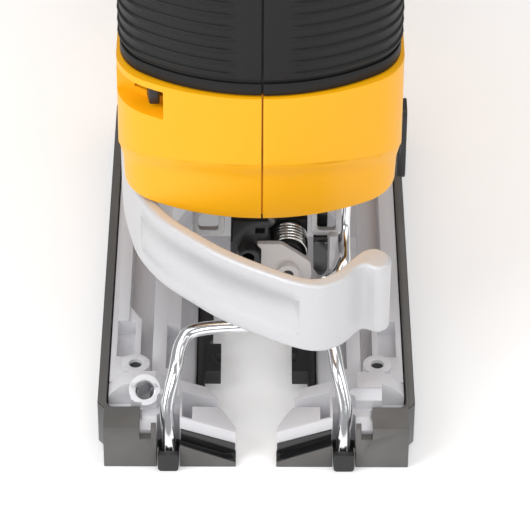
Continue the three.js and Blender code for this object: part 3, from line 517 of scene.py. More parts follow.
# ---------------------------------------------------------------- geometry nodes
class ShapeTree:
    """A geometry tree with named inputs that ends in Realize Instances and Set Material."""

    def __init__(self, name: str) -> None:
        """Opens an empty tree.

        Args:
            name: the tree's name.
        """
        self.tree = bpy.data.node_groups.new(name, "GeometryNodeTree")
        self.tree.interface.new_socket("Geometry", in_out="OUTPUT", socket_type="NodeSocketGeometry")
        self.graph = Graph(self.tree)
        self.entry = self.tree.nodes.new("NodeGroupInput")
        self.values: dict[str, float | int] = {}

    def number(self, name: str, value: float) -> Term:
        """Declares a named length or number input.

        Args:
            name: the input's name.
            value: the value that this object gives it.

        Returns:
            The input, for expressions.
        """
        kind = "NodeSocketInt" if isinstance(value, int) else "NodeSocketFloat"
        self.tree.interface.new_socket(name, in_out="INPUT", socket_type=kind)
        self.values[name] = value
        return Term(self.graph, self.entry.outputs[name])

    def tube(self, curve: Socket, radius: Term, sides: Term | int) -> Socket:
        """Sweeps a round section along a curve.

        Args:
            curve: the path.
            radius: the section's radius.
            sides: the points round the section.

        Returns:
            The tube's mesh.
        """
        circle = self.graph.add(
            "GeometryNodeCurvePrimitiveCircle", {"mode": "RADIUS"}, Resolution=sides, Radius=radius,
        )
        return self.graph.add(
            "GeometryNodeCurveToMesh", None, Curve=curve, Profile_Curve=circle.outputs[0], Fill_Caps=True,
        ).outputs[0]

    def coil(self, radius: float, length: float, turns: float, steps: int, wire: float, sides: int) -> Socket:
        """Winds a round wire upwards from the origin.

        Args:
            radius: the coil's radius at the wire's centre, in metres.
            length: the coil's length in metres.
            turns: its turns.
            steps: the points in a turn.
            wire: the wire's radius in metres.
            sides: the points round the wire.

        Returns:
            The coil's mesh.
        """
        spiral = self.graph.add(
            "GeometryNodeCurveSpiral", None, Resolution=self.number("Steps a turn", steps),
            Rotations=self.number("Turns", turns), Start_Radius=radius, End_Radius=radius,
            Height=self.number("Length", length),
        )
        return self.tube(spiral.outputs[0], self.number("Wire radius", wire), sides)

    def moved(self, geometry: Socket, place: Sequence[float], turn: Sequence[float] = NO_TURN) -> Socket:
        """Turns a geometry about the origin, then moves it."""
        return self.graph.add(
            "GeometryNodeTransform", None, Geometry=geometry, Translation=tuple(place), Rotation=turn,
        ).outputs[0]

    def copied(self, points: Socket, instance: Socket, **more: Any) -> Socket:
        """Puts a copy of a mesh on each point."""
        return self.graph.add(
            "GeometryNodeInstanceOnPoints", None, Points=points, Instance=instance, **more,
        ).outputs[0]

    def finish(self, name: str, geometry: Socket, look: Look) -> bpy.types.Object:
        """Ends the tree and turns its result into a plain piece.

        Args:
            name: the piece's name.
            geometry: the tree's result.
            look: the finish.

        Returns:
            The piece, a plain mesh at the origin.
        """
        real = self.graph.add("GeometryNodeRealizeInstances", None, Geometry=geometry)
        painted = self.graph.add(
            "GeometryNodeSetMaterial", None, Geometry=real.outputs[0], Material=PALETTE.of(look),
        )
        leave = self.tree.nodes.new("NodeGroupOutput")
        self.tree.links.new(painted.outputs[0], leave.inputs[0])
        piece = link(name, bpy.data.meshes.new(name))
        modifier = piece.modifiers.new("shape", "NODES")
        modifier.node_group = self.tree
        for item in self.tree.interface.items_tree:
            if item.in_out == "INPUT" and item.name in self.values:
                modifier[item.identifier] = self.values[item.name]
        flatten_modifiers(piece)
        smooth(piece.data, 40.0)
        return piece


@dataclass
class Sweep:
    """A section swept along a smooth path by geometry nodes, once or in a row of copies."""

    name: str
    points: Sequence[Sequence[float]]
    radius: float
    look: Look
    sides: int = 20
    steps: int = 12
    copies: int = 1
    pitch: tuple[float, float, float] = (0.0, 0.0, 0.0)

    def build(self) -> bpy.types.Object:
        """Makes the swept piece.

        Returns:
            The piece, a plain mesh at the origin.
        """
        shape = ShapeTree(f"{self.name}_shape")
        graph = shape.graph
        radius = shape.number("Radius", self.radius)
        sides = shape.number("Sides", self.sides)
        steps = shape.number("Steps", self.steps)
        copies = shape.number("Copies", self.copies)
        tube = shape.tube(self._path(graph, steps), radius, sides)
        row = graph.add("GeometryNodeMeshLine", {"mode": "OFFSET"}, Count=copies, Offset=self.pitch)
        return shape.finish(self.name, shape.copied(row.outputs[0], tube), self.look)

    def _path(self, graph: Graph, steps: Term) -> Socket:
        """Writes the path as a smooth curve through the points.

        Args:
            graph: the tree's graph.
            steps: the points between two path points.

        Returns:
            The curve.
        """
        line = graph.add("GeometryNodeMeshLine", {"mode": "OFFSET"}, Count=len(self.points))
        placed = graph.add(
            "GeometryNodeSetPosition", None, Geometry=line.outputs[0],
            Position=chosen_point(graph, self.points),
        )
        wire = graph.add("GeometryNodeMeshToCurve", None, Mesh=placed.outputs[0])
        spline = graph.add(
            "GeometryNodeCurveSplineType", {"spline_type": "CATMULL_ROM"}, Curve=wire.outputs[0],
        )
        return graph.add(
            "GeometryNodeSetSplineResolution", None, Geometry=spline.outputs[0], Resolution=steps,
        ).outputs[0]


def chosen_point(graph: Graph, points: Sequence[Sequence[float]]) -> Socket:
    """Gives each point of a line its own place from a list.

    Args:
        graph: the tree's graph.
        points: the places in metres, in order.

    Returns:
        A vector socket that holds point N at index N.
    """
    index = graph.add("GeometryNodeInputIndex")
    chooser = graph.add("GeometryNodeIndexSwitch", {"data_type": "VECTOR"}, Index=index.outputs[0])
    while len(chooser.index_switch_items) < len(points):
        chooser.index_switch_items.new()
    sockets = [s for s in chooser.inputs if s.type == "VECTOR"]
    for socket, point in zip(sockets, points):
        socket.default_value = tuple(point)
    return chooser.outputs[0]


def mm(*values: float) -> tuple[float, ...]:
    """Turns millimetres into metres."""
    return tuple(value * MM for value in values)


# ---------------------------------------------------------------- head and housing
@dataclass(frozen=True)
class Plan:
    """The rounded front of the nose or the head from above, in millimetres from its centre line."""

    half_width: float
    front: float
    arc: float
    corner: float = 13.0

    @property
    def arc_y(self) -> float:
        """Where the broad arc's centre is along the tool."""
        return self.front + self.arc

    @property
    def corner_x(self) -> float:
        """How far out each corner's centre is."""
        return self.half_width - self.corner

    @property
    def corner_y(self) -> float:
        """Where each corner's centre is along the tool."""
        return self.arc_y - math.sqrt((self.arc - self.corner) ** 2 - self.corner_x ** 2)


@dataclass
class HeadRibs:
    """Soft horizontal ribs round the front of the head, fading out beside the split line."""

    plan: Plan = Plan(half_width=31.1, front=-41.6, arc=44.0)
    centre: float = 0.6
    inner_left: float = 5.1
    inner_right: float = 4.3
    side_end: float = 2.0
    first: float = 91.6
    pitch: float = 3.02
    count: int = 19
    height: float = 0.36
    thickness: float = 0.66
    end_sink: float = 0.5
    core: float = 8.0
    bend_steps: int = 8

    def outline(self, inner: float) -> list[tuple[float, float]]:
        """Follows the head's plan from beside the split round the corner to the side.

        Args:
            inner: where it starts, from the head's centre.

        Returns:
            (x, y) points in millimetres from the head's centre.
        """
        plan = self.plan
        meet = math.atan2(plan.arc_y - plan.corner_y, plan.corner_x)
        points = []
        start = math.acos(inner / plan.arc)
        for step in range(self.bend_steps + 1):
            angle = start + (meet - start) * step / self.bend_steps
            points.append((plan.arc * math.cos(angle), plan.arc_y - plan.arc * math.sin(angle)))
        for step in range(1, self.bend_steps + 1):
            angle = meet * (1 - step / self.bend_steps)
            x = plan.corner_x + plan.corner * math.cos(angle)
            points.append((x, plan.corner_y - plan.corner * math.sin(angle)))
        points.append((plan.half_width, (plan.corner_y + self.side_end) / 2))
        points.append((plan.half_width, self.side_end))
        return points

    def build(self) -> None:
        """Makes the ribs of both sides."""
        sunk = self.thickness - self.height
        for side, sign, inner in (("left", 1.0, self.inner_left), ("right", -1.0, self.inner_right)):
            outline = self.outline(inner)
            last = len(outline) - 1
            path = []
            for step, (x, y) in enumerate(outline):
                depth = sunk + (self.end_sink if step in (0, last) else 0.0)
                towards = Vector((-x, self.core - y)).normalized() * depth
                path.append(mm(self.centre + sign * (x + towards.x), y + towards.y, self.first))
            ribs = Sweep(
                f"head_ribs_{side}", path, self.thickness * MM, Look.GRIP, sides=12, steps=4,
                copies=self.count, pitch=mm(0.0, 0.0, self.pitch),
            ).build()
            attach(ribs, "housing")


@dataclass
class HousingHalves:
    """The yellow halves: the nose band swells down to its crease and the skirt draws in below it."""

    bottom: float = 53.0
    crease: float = 69.0
    side_crease: float = 62.5
    crease_front: float = -41.5
    crease_back: float = -24.0
    band_top: float = 86.2
    centre: tuple[float, float] = (0.6, 6.0)
    skirt: Plan = Plan(half_width=31.0, front=-41.5, arc=49.0)
    step: float = 0.9
    swell: float = 0.6
    soft: float = 4.5
    taper: float = 0.4
    shell: float = 0.8
    fade_end: float = 22.0
    edge: float = 0.5
    strip: float = 1.6
    weld: float = 0.2
    bulge_power: float = 1.7
    taper_power: float = 1.4
    tongue_width: tuple[float, float] = (0.4, 1.8)

    def build(self) -> None:
        """Makes both halves and the tongues that close the split."""
        for node in ("housing_left", "housing_right"):
            piece = merged_copy(node)
            self._shape_nose(piece.data)
            round_edges(piece, self.edge * MM, 3)
            dress(piece, Look.YELLOW)
            stand_for(piece, node)
        self._tongue("nose_tongue", (-40.2, -39.4), (self.bottom + 0.6, self.band_top - 0.3), Look.YELLOW)
        self._tongue("head_tongue", (-40.7, -39.9), (self.band_top + 0.6, 149.5), Look.GRIP)

    def _tongue(
        self, name: str, depth: tuple[float, float], height: tuple[float, float], look: Look,
    ) -> None:
        """Makes the strip that closes the split from behind.

        Args:
            name: the piece's name.
            depth: its front and back, in millimetres.
            height: its bottom and top, in millimetres.
            look: its finish.
        """
        (front, back), (low, high) = depth, height
        outline = [(front, low), (back, low), (back, high), (front, high)]
        piece = plain_prism(name, outline, "x", *self.tongue_width)
        dress(piece, look)
        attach(piece, "housing")

    def _shape_nose(self, mesh: bpy.types.Mesh) -> None:
        """Cuts the nose into level strips and moves them in or out.

        Args:
            mesh: the half's mesh.
        """
        shape = bmesh.new()
        shape.from_mesh(mesh)
        level = self.bottom + self.strip
        while level < self.band_top - 0.5:
            faces = [f for f in shape.faces if f.calc_center_median().y < self.fade_end * MM]
            parts = list({part for f in faces for part in (*f.verts, *f.edges, f)})
            bmesh.ops.bisect_plane(
                shape, geom=parts, plane_co=mm(0.0, 0.0, level), plane_no=(0.0, 0.0, 1.0), dist=1e-6,
            )
            level += self.strip
        moved = []
        for vert in shape.verts:
            push = self._push(vert.co / MM)
            if push.length > 0.0:
                vert.co += push * MM
                moved.append(vert)
        bmesh.ops.remove_doubles(shape, verts=moved, dist=self.weld * MM)
        bmesh.ops.recalc_face_normals(shape, faces=shape.faces)
        shape.to_mesh(mesh)
        shape.free()

    def _push(self, place: Vector) -> Vector:
        """Says how far a point of the nose moves outwards.

        Args:
            place: the point, in millimetres.

        Returns:
            The movement, in millimetres.
        """
        if place.y > self.fade_end or not self.bottom - 0.1 < place.z < self.band_top - 0.2:
            return Vector((0.0, 0.0, 0.0))
        along = (place.y - self.crease_front) / (self.crease_back - self.crease_front)
        crease = self.crease + (self.side_crease - self.crease) * min(max(along, 0.0), 1.0)
        beyond = self._beyond_skirt(place)
        on_skirt = beyond < self.step / 2
        swell = self.swell * (1.0 - min(max(along, 0.0), 1.0))
        if place.z >= crease - 0.02:
            part = 1.0 - (place.z - crease) / (self.band_top - crease)
            amount = swell * part ** self.bulge_power
            if on_skirt and place.z < crease + 0.02:
                amount = swell + self.step
        else:
            below = min((crease - place.z) / self.soft, 1.0)
            soft = (1.0 - below) ** 2 * (1.0 + 2.0 * below)
            amount = (swell + (self.step if on_skirt else 0.0)) * soft
            if beyond > -self.shell:
                depth = (crease - place.z) / (crease - self.bottom)
                amount -= self.taper * depth ** self.taper_power
        outwards = Vector((place.x - self.centre[0], min(place.y - self.centre[1], 0.0), 0.0)).normalized()
        fade = min(max((self.fade_end - place.y) / (self.fade_end - self.centre[1]), 0.0), 1.0)
        return outwards * amount * fade

    def _beyond_skirt(self, place: Vector) -> float:
        """Measures how far a point is outside the skirt's outline.

        Args:
            place: the point, in millimetres.

        Returns:
            The distance in millimetres, negative inside.
        """
        skirt = self.skirt
        across = abs(place.x - self.centre[0])
        if place.y > skirt.corner_y:
            return across - skirt.half_width
        if across * (skirt.arc_y - skirt.corner_y) < skirt.corner_x * (skirt.arc_y - place.y):
            return math.hypot(across, place.y - skirt.arc_y) - skirt.arc
        return math.hypot(across - skirt.corner_x, place.y - skirt.corner_y) - skirt.corner


@dataclass
class HousingScrews:
    """Screws that hold the housing halves, with six-lobed sockets, as one mesh of copies."""

    radius: float = 3.0
    depth: float = 2.4
    socket: float = 1.55
    socket_depth: float = 1.4

    def build(self) -> None:
        """Makes the screws in their recesses."""
        nodes = [f"housing_screw_{number}" for number in range(1, 6)]
        centres = []
        for node in nodes:
            low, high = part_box(node)
            centres.append((high.x - self.depth * MM / 2, (low.y + high.y) / 2, (low.z + high.z) / 2))
        shape = ShapeTree("housing_screws_shape")
        graph = shape.graph
        head = graph.add(
            "GeometryNodeMeshCylinder", None, Vertices=40,
            Radius=shape.number("Head radius", self.radius * MM),
            Depth=shape.number("Head depth", self.depth * MM),
        )
        lobes = graph.add(
            "GeometryNodeMeshCylinder", None, Vertices=6,
            Radius=shape.number("Socket radius", self.socket * MM), Depth=self.socket_depth * MM * 2,
        )
        raised = shape.moved(lobes.outputs[0], mm(0.0, 0.0, self.depth / 2))
        cut = graph.add("GeometryNodeMeshBoolean", {"operation": "DIFFERENCE"})
        graph.put(cut.inputs[0], head.outputs[0])
        graph.put(cut.inputs[1], raised)
        turned = shape.moved(cut.outputs[0], mm(0.0, 0.0, 0.0), (0.0, math.pi / 2, 0.0))
        row = graph.add("GeometryNodeMeshLine", {"mode": "OFFSET"}, Count=len(centres))
        spots = graph.add(
            "GeometryNodeSetPosition", None, Geometry=row.outputs[0], Position=chosen_point(graph, centres),
        )
        screws = shape.finish("housing_screws", shape.copied(spots.outputs[0], turned), Look.BLACK_STEEL)
        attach(screws, "housing")
        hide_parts(*nodes)


# ---------------------------------------------------------------- blade clamp
@dataclass
class ClampSpring:
    """The return spring beside the clamp, a round-wire helix along the tool's length."""

    wire: float = 0.36
    turns: float = 6.0
    steps: int = 36
    sides: int = 12

    def build(self) -> None:
        """Makes the coil in the CAD spring's place."""
        low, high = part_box("clamp_spring")
        centre = (low + high) / 2
        outer = (high.z - low.z) / 2
        wire = self.wire * MM
        length = (high.y - low.y) - 2 * wire
        shape = ShapeTree("clamp_spring_shape")
        coil = shape.coil(outer - wire, length, self.turns, self.steps, wire, self.sides)
        placed = shape.moved(coil, (centre.x, high.y - wire, centre.z), (math.pi / 2, 0.0, 0.0))
        spring = shape.finish("clamp_spring_coil", placed, Look.SPRING)
        stand_for(spring, "clamp_spring")


@dataclass
class BladeLever:
    """The cast release lever: a rounded band with a shallow plain panel on its outer face."""

    top_round: float = 1.15
    panel_height: tuple[float, float] = (38.4, 47.8)
    panel_across: tuple[float, float] = (-26.4, 9.4)
    outer_normal: float = -0.35
    upright_normal: float = 0.3
    panel_depth: float = 0.4
    rim: float = 0.3

    def build(self) -> None:
        """Makes the lever."""
        lever = merged_copy("blade_lever")
        self._round_rims(lever)
        self._sink_panel(lever)
        smooth(lever.data, 40.0)
        dress(lever, Look.LEVER)
        stand_for(lever, "blade_lever")

    def _round_rims(self, lever: bpy.types.Object) -> None:
        """Rounds the band's top and bottom rims."""
        bevel = lever.modifiers.new("rims", "BEVEL")
        bevel.width = self.top_round * MM
        bevel.segments = 5
        bevel.limit_method = "ANGLE"
        bevel.angle_limit = math.radians(60.0)
        bevel.use_clamp_overlap = True
        flatten_modifiers(lever)

    def _sink_panel(self, lever: bpy.types.Object) -> None:
        """Sinks the plain panel between its four borders."""
        shape = bmesh.new()
        shape.from_mesh(lever.data)
        (start, end), (low, high) = self.panel_across, self.panel_height
        cuts = [(mm(0.0, 0.0, height), (0.0, 0.0, 1.0)) for height in (low, high)]
        cuts += [(mm(across, 0.0, 0.0), (1.0, 0.0, 0.0)) for across in (start, end)]
        for place, normal in cuts:
            parts = shape.verts[:] + shape.edges[:] + shape.faces[:]
            bmesh.ops.bisect_plane(shape, geom=parts, plane_co=place, plane_no=normal)
        chosen = []
        for face in shape.faces:
            middle = face.calc_center_median() / MM
            inside = start < middle.x < end and low < middle.z < high
            if inside and face.normal.y < self.outer_normal and abs(face.normal.z) < self.upright_normal:
                chosen.append(face)
        bmesh.ops.inset_region(
            shape, faces=chosen, thickness=self.rim * MM, depth=-self.panel_depth * MM, use_even_offset=True,
        )
        shape.to_mesh(lever.data)
        shape.free()


# ---------------------------------------------------------------- shoe
@dataclass
class SoleCover:
    """The anti-scratch cover under the shoe: satin brown-grey in front, glossy black side rails, and gloss
    black painted shade on the front lip's upward faces.
    """

    rail_from: float = -57.4
    rail_inner: float = 33.0
    # The front lip's extent, where upward faces take the gloss black as painted shade.
    lip_back: float = -61.5
    lip_end: float = 19.5
    # A black block under each foot's face is painted shade for the shadowed recess: its reach, top, base and
    # depth.
    shade_block_reach: tuple[float, float] = (4.8, 17.1)
    shade_block_top: tuple[float, float] = (5.05, 9.3)
    shade_block_base: float = 2.4
    shade_block_depth: tuple[float, float] = (-62.85, -61.95)
    # The dark cylinder in each plain hole is painted shade for the hole's depth.
    hole: tuple[float, float, float] = (27.9, -43.4, 9.2)
    hole_radius: float = 1.5
    hole_shade_depth: float = 5.0
    up_normal: float = 0.6
    edge: float = 0.35

    def build(self) -> None:
        """Makes the cover with its two finishes; the gloss black is also painted shade on the front lip's
        upward faces.
        """
        cover = softened("sole_cover", self.edge * MM, 3)
        cover.data.materials.clear()
        cover.data.materials.append(PALETTE.of(Look.COVER))
        cover.data.materials.append(PALETTE.of(Look.BLACK_AND_SHADE))
        for polygon in cover.data.polygons:
            middle = polygon.center / MM
            on_rail = abs(middle.x) > self.rail_inner and middle.y > self.rail_from
            on_top = polygon.normal.z > self.up_normal
            # Upward faces of the front lip are the cover's own plastic, painted black as shade.
            lip_top_shade = on_top and middle.y < self.lip_back and abs(middle.x) < self.lip_end
            polygon.material_index = 1 if on_rail or lip_top_shade else 0
        stand_for(cover, "sole_cover")
        for side, sign in SIDES:
            # A black block of painted shade under each foot.
            self._add(self._shade_block(side, sign), Look.BLACK_AND_SHADE)
            # A dark cylinder of painted shade in each plain hole.
            self._add(self._hole_shade(side, sign), Look.DARK)

    @staticmethod
    def _add(piece: bpy.types.Object, look: Look) -> None:
        """Puts a small dark piece of painted shade on the shoe."""
        dress(piece, look)
        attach(piece, "shoe")

    def _shade_block(self, side: str, sign: float) -> bpy.types.Object:
        """Fills the step under one foot's bright face with a black block, painted shade for the shadowed
        recess there.

        Args:
            side: left or right.
            sign: 1 on the left, -1 on the right.

        Returns:
            The seal.
        """
        inner, outer = self.shade_block_reach
        low, high = self.shade_block_top
        base = self.shade_block_base
        outline = [(sign * inner, base), (sign * outer, base), (sign * outer, high), (sign * inner, low)]
        return plain_prism(f"foot_shade_block_{side}", outline, "y", *self.shade_block_depth)

    def _hole_shade(self, side: str, sign: float) -> bpy.types.Object:
        """Fills one plain hole with a dark cylinder, painted shade for the hole's shadowed depth.

        Args:
            side: left or right.
            sign: 1 on the left, -1 on the right.

        Returns:
            The plug.
        """
        shape = bmesh.new()
        across, along, height = self.hole
        radius = self.hole_radius * MM
        bmesh.ops.create_cone(
            shape, cap_ends=True, segments=28, radius1=radius, radius2=radius, depth=self.hole_shade_depth * MM,
            matrix=Matrix.Translation(mm(sign * across, along, height)),
        )
        return link_shape(f"hole_shade_{side}", shape)


@dataclass
class ShoeThread:
    """The thread that shows inside the tapped hole on the shoe's right hump."""

    centre: tuple[float, float, float] = (-25.4, -54.7, 14.2)
    tilt: float = 0.72
    radius: float = 2.33
    crest: float = 0.24
    turns: float = 8.0
    pitch: float = 0.8
    mouth: float = 0.3
    steps: int = 32
    sides: int = 6

    def build(self) -> None:
        """Makes the helix in the hole."""
        shape = ShapeTree("shoe_thread_shape")
        length = self.turns * self.pitch
        coil = shape.coil(
            self.radius * MM, length * MM, self.turns, self.steps, self.crest * MM, self.sides,
        )
        centred = shape.moved(coil, mm(0.0, 0.0, -self.mouth - length))
        placed = shape.moved(centred, mm(*self.centre), (self.tilt, 0.0, 0.0))
        thread = shape.finish("shoe_thread", placed, Look.STEEL)
        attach(thread, "shoe")


@dataclass
class WireGuard:
    """The bent wire in front of the blade, polished and smooth along its whole path."""

    radius: float = 1.6
    tip: float = 19.7
    corner: float = 15.5
    bar_y: float = -45.5
    bar_z: float = 24.5

    def path(self) -> list[tuple[float, float, float]]:
        """Lists the wire's centre line.

        Returns:
            Points in millimetres, from the left tip to the right one.
        """
        leg = [
            (self.tip, -63.0, 3.6), (self.tip + 0.3, -61.6, 8.0), (self.tip + 0.5, -59.0, 13.0),
            (self.tip - 1.2, -54.6, 19.4), (self.corner + 1.6, -48.6, 22.8),
            (self.corner - 1.6, self.bar_y - 0.4, self.bar_z),
        ]
        middle = [(4.0, self.bar_y + 0.4, self.bar_z + 0.7), (-4.0, self.bar_y + 0.4, self.bar_z + 0.7)]
        return leg + middle + [(-x, y, z) for x, y, z in reversed(leg)]

    def build(self) -> None:
        """Makes the wire."""
        points = [mm(*point) for point in self.path()]
        wire = Sweep("wire_guard_tube", points, self.radius * MM, Look.CHROME, sides=28, steps=10).build()
        stand_for(wire, "wire_guard")


@dataclass
class GuideRod:
    """The bright rod that hangs beside the clamp."""

    radius: float = 1.4
    points: Sequence[tuple[float, float, float]] = (
        (21.0, -27.0, 67.6), (20.6, -27.4, 56.0), (20.0, -28.2, 46.0), (19.9, -29.2, 41.6),
        (19.9, -33.0, 38.9), (19.8, -38.0, 38.4), (18.2, -41.0, 36.9), (15.6, -44.6, 37.6),
    )

    def build(self) -> None:
        """Makes the rod."""
        points = [mm(*point) for point in self.points]
        rod = Sweep("guide_rod_tube", points, self.radius * MM, Look.CHROME, sides=24, steps=8).build()
        stand_for(rod, "guide_rod")


# ---------------------------------------------------------------- controls and battery
@dataclass
class RadialRidges:
    """Ridges round a dial, one tree instancing a small bar about the dial's axis."""

    node: str
    name: str
    count: int
    size: tuple[float, float, float]
    look: Look
    inset: float = 0.25

    def build(self) -> None:
        """Makes the ridges on the dial's rim."""
        low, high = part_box(self.node)
        centre = (low + high) / 2
        radius = (high.z - low.z) / 2 - self.inset * MM
        shape = ShapeTree(f"{self.name}_shape")
        graph = shape.graph
        count = shape.number("Count", self.count)
        ring = graph.add(
            "GeometryNodeMeshCircle", None, Vertices=count, Radius=shape.number("Radius", radius),
        )
        block = graph.add("GeometryNodeMeshCube", None, Size=mm(*self.size))
        index = Term(graph, graph.add("GeometryNodeInputIndex").outputs[0])
        turn = index * (2.0 * math.pi / self.count)
        rotation = graph.add("ShaderNodeCombineXYZ", None, Z=turn)
        placed = shape.copied(ring.outputs[0], block.outputs[0], Rotation=rotation.outputs[0])
        turned = shape.moved(placed, centre, (0.0, math.pi / 2, 0.0))
        ridges = shape.finish(self.name, turned, self.look)
        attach(ridges, body_of(self.node))


@dataclass
class BatteryRibs:
    """Horizontal grip ribs down both sides of the battery's lower shell."""

    count: int = 5
    pitch: float = 3.2
    reach: tuple[float, float] = (134.0, 176.0)
    lowest: float = 66.0
    radius: float = 0.315
    sink: float = 0.35
    end_sink: float = 0.9
    end_length: float = 3.0

    def build(self) -> None:
        """Makes the ribs of both sides."""
        low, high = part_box("battery_lower")
        start, end = self.reach
        stops = (
            (start, self.end_sink), (start + self.end_length, self.sink), ((start + end) / 2, self.sink),
            (end - self.end_length, self.sink), (end, self.end_sink),
        )
        for (side, sign), edge in zip(SIDES, (high.x, low.x)):
            points = [(edge - sign * sink * MM, along * MM, self.lowest * MM) for along, sink in stops]
            ribs = Sweep(
                f"battery_ribs_{side}", points, self.radius * MM, Look.BATTERY, sides=10, steps=5,
                copies=self.count, pitch=mm(0.0, 0.0, self.pitch),
            ).build()
            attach(ribs, "battery")


# ---------------------------------------------------------------- studio
@dataclass
class Studio:
    """A plain pale floor, soft boxes and the camera."""

    camera_at: tuple[float, float, float] = (-0.000081, -0.594916, 0.472420)
    right: tuple[float, float, float] = (0.99998838, 0.00027023, 0.00481365)
    up: tuple[float, float, float] = (-0.00395956, 0.61566756, 0.78799605)
    lens: float = 211.25
    sensor: float = 36.0
    clip: tuple[float, float] = (0.05, 20.0)
    floor_reach: float = 4.0
    floor_colour: Colour = (0.92, 0.92, 0.925)
    floor_roughness: float = 0.6
    floor_glow: float = 0.16
    world_glow: float = 0.37
    aim: tuple[float, float, float] = (0.0, -0.02, 0.06)
    boxes: Sequence[tuple[str, tuple[float, float, float], float, float, float]] = (
        ("box_left", (-0.70, -0.45, 0.60), 0.6, 0.8, 5.4),
        ("box_right", (0.75, -0.30, 0.60), 0.7, 0.9, 2.6),
        ("box_top", (0.0, 0.05, 1.05), 1.0, 0.8, 4.2),
        ("box_front", (0.05, -1.10, 0.72), 0.6, 0.45, 3.6),
    )

    def build(self) -> None:
        """Makes the camera, the floor, the lights and the surroundings."""
        self._camera()
        self._floor()
        for name, place, width, height, power in self.boxes:
            self._soft_box(name, Vector(place), width, height, power)
        self._surroundings()
        bpy.context.scene.view_settings.view_transform = "Standard"

    def _camera(self) -> None:
        """Places the camera."""
        data = bpy.data.cameras.new("camera")
        data.lens = self.lens
        data.sensor_width = self.sensor
        data.clip_start, data.clip_end = self.clip
        camera = bpy.data.objects.new("camera", data)
        bpy.context.scene.collection.objects.link(camera)
        right, up = Vector(self.right), Vector(self.up)
        back = right.cross(up)
        turn = Matrix((right, up, back)).transposed()
        camera.matrix_world = Matrix.Translation(self.camera_at) @ turn.to_4x4()
        bpy.context.scene.camera = camera

    def _floor(self) -> None:
        """Lays the floor."""
        shape = bmesh.new()
        bmesh.ops.create_grid(shape, x_segments=2, y_segments=2, size=self.floor_reach)
        floor = link_shape("floor", shape)
        material = bpy.data.materials.new("pale_floor")
        material.use_nodes = True
        material.node_tree.nodes.clear()
        graph = Graph(material.node_tree)
        shader = graph.add(
            "ShaderNodeBsdfPrincipled", None, Base_Color=(*self.floor_colour, 1.0),
            Roughness=self.floor_roughness,
        )
        shader.inputs["Emission Color"].default_value = (1.0, 1.0, 1.0, 1.0)
        shader.inputs["Emission Strength"].default_value = self.floor_glow
        graph.add("ShaderNodeOutputMaterial", None, Surface=shader.outputs[0])
        floor.data.materials.append(material)
        floor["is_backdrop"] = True

    def _soft_box(self, name: str, place: Vector, width: float, height: float, power: float) -> None:
        """Hangs one soft box that faces the tool.

        Args:
            name: the light's name.
            place: where it hangs, in metres.
            width: its width in metres.
            height: its height in metres.
            power: its power in watts.
        """
        data = bpy.data.lights.new(name, "AREA")
        data.shape = "RECTANGLE"
        data.size, data.size_y = width, height
        data.energy = power
        light = bpy.data.objects.new(name, data)
        bpy.context.scene.collection.objects.link(light)
        light.location = place
        towards = Vector(self.aim) - place
        light.rotation_mode = "QUATERNION"
        light.rotation_quaternion = towards.to_track_quat("-Z", "Y")

    def _surroundings(self) -> None:
        """Lights the scene evenly from all round."""
        world = bpy.data.worlds.new("studio")
        world.use_nodes = True
        world.node_tree.nodes.clear()
        graph = Graph(world.node_tree)
        glow = graph.add(
            "ShaderNodeBackground", None, Color=(1.0, 1.0, 1.0, 1.0), Strength=self.world_glow,
        )
        graph.add("ShaderNodeOutputWorld", None, Surface=glow.outputs[0])
        bpy.context.scene.world = world


# ---------------------------------------------------------------- the whole tool
KEPT: dict[Look, Sequence[str]] = {
    Look.STEEL: (
        "gear_axle", "lower_bushing", "upper_bushing", "front_bearing", "rear_bearing", "drive_gear",
        "rotor_shaft", "roller_pin", "fork_pivot_pin",
    ),
    Look.BLACK_STEEL: ("pinion",),
    Look.COPPER: ("armature",),
    Look.DARK: ("cooling_fan", "switch_body", "controller_module", "terminal_block"),
    Look.CELL: ("battery_cell_1", "battery_cell_2", "battery_cell_3"),
}

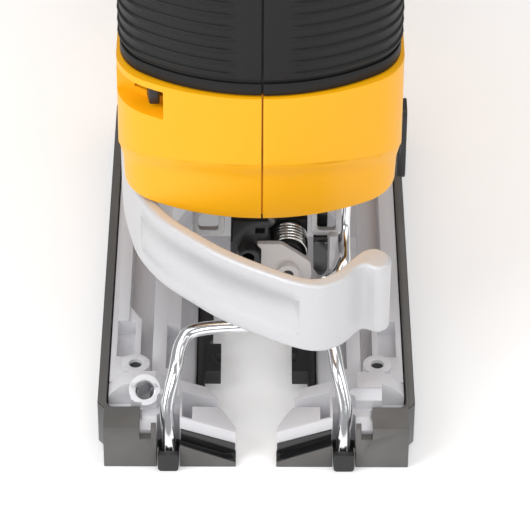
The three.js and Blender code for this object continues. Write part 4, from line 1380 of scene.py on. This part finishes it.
SOFTENED: Sequence[SoftenedGroup] = (
    SoftenedGroup(("head_cover_left", "head_cover_right"), Look.GRIP, 0.0003, 2),
    SoftenedGroup(("handle_grip_left", "handle_grip_right"), Look.GRIP, 0.0005, 2),
    SoftenedGroup(("gear_case",), Look.CAST, 0.0005, 2),
    SoftenedGroup(("motor_can",), Look.BLACK_STEEL, 0.0002, 1),
    SoftenedGroup(("bracket_left", "bracket_right"), Look.ZINC, 0.00025, 3),
    SoftenedGroup(("plunger",), Look.STEEL, 0.0003, 2),
    SoftenedGroup(("clamp_body",), Look.CLAMP, 0.0003, 2),
    SoftenedGroup(("clamp_cam",), Look.SINTERED, 0.0003, 3),
    SoftenedGroup(("blade_stop",), Look.BLACK_AND_SHADE, 0.0004, 3),
    SoftenedGroup(("roller_fork", "lever_pivot_pin"), Look.STEEL, 0.0003, 2),
    SoftenedGroup(("guide_roller", "bevel_bolt"), Look.BLACK_STEEL, 0.0003, 2),
    SoftenedGroup(("shoe_casting",), Look.CAST, 0.0005, 3),
    SoftenedGroup(("slot_liner_left", "slot_liner_right"), Look.DARK, 0.0002, 2),
    SoftenedGroup(("wire_pad_left", "wire_pad_right"), Look.DARK, 0.0003, 3),
    SoftenedGroup(("trigger",), Look.TRIGGER, 0.0009, 3),
    SoftenedGroup(("orbit_selector", "speed_dial", "blower_slider", "lock_button"), Look.DARK, 0.0004, 2),
    SoftenedGroup(("battery_lower", "battery_upper"), Look.BATTERY, 0.0007, 3),
    SoftenedGroup(("release_button_left", "release_button_right"), Look.DARK, 0.0005, 2),
)


class Jigsaw:
    """Builds every sub-assembly in order and reports what is shown."""

    def build(self) -> None:
        """Makes the whole tool and the studio."""
        Studio().build()
        for look, nodes in KEPT.items():
            for node in nodes:
                self._finish_node(node, look)
        for group in SOFTENED:
            group.build()
        parts = [
            HousingHalves(), HeadRibs(), HousingScrews(), ClampSpring(), BladeLever(), SoleCover(),
            ShoeThread(), WireGuard(), GuideRod(),
            RadialRidges("speed_dial", "dial_ridges", 36, (1.0, 0.7, 6.4), Look.DARK), BatteryRibs(),
        ]
        for part in parts:
            part.build()
        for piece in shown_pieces():
            LOG.info("%s: %d faces", piece.name, len(piece.data.polygons))

    @staticmethod
    def _finish_node(node: str, look: Look) -> None:
        """Gives a carried-over CAD node its finish."""
        mesh = frame["nodes"][node].data
        mesh.materials.clear()
        mesh.materials.append(PALETTE.of(look))


def main() -> None:
    """Builds the scene."""
    logging.basicConfig(level=logging.INFO, format="%(name)s %(message)s")
    Jigsaw().build()


if __name__ == "__main__":
    main()
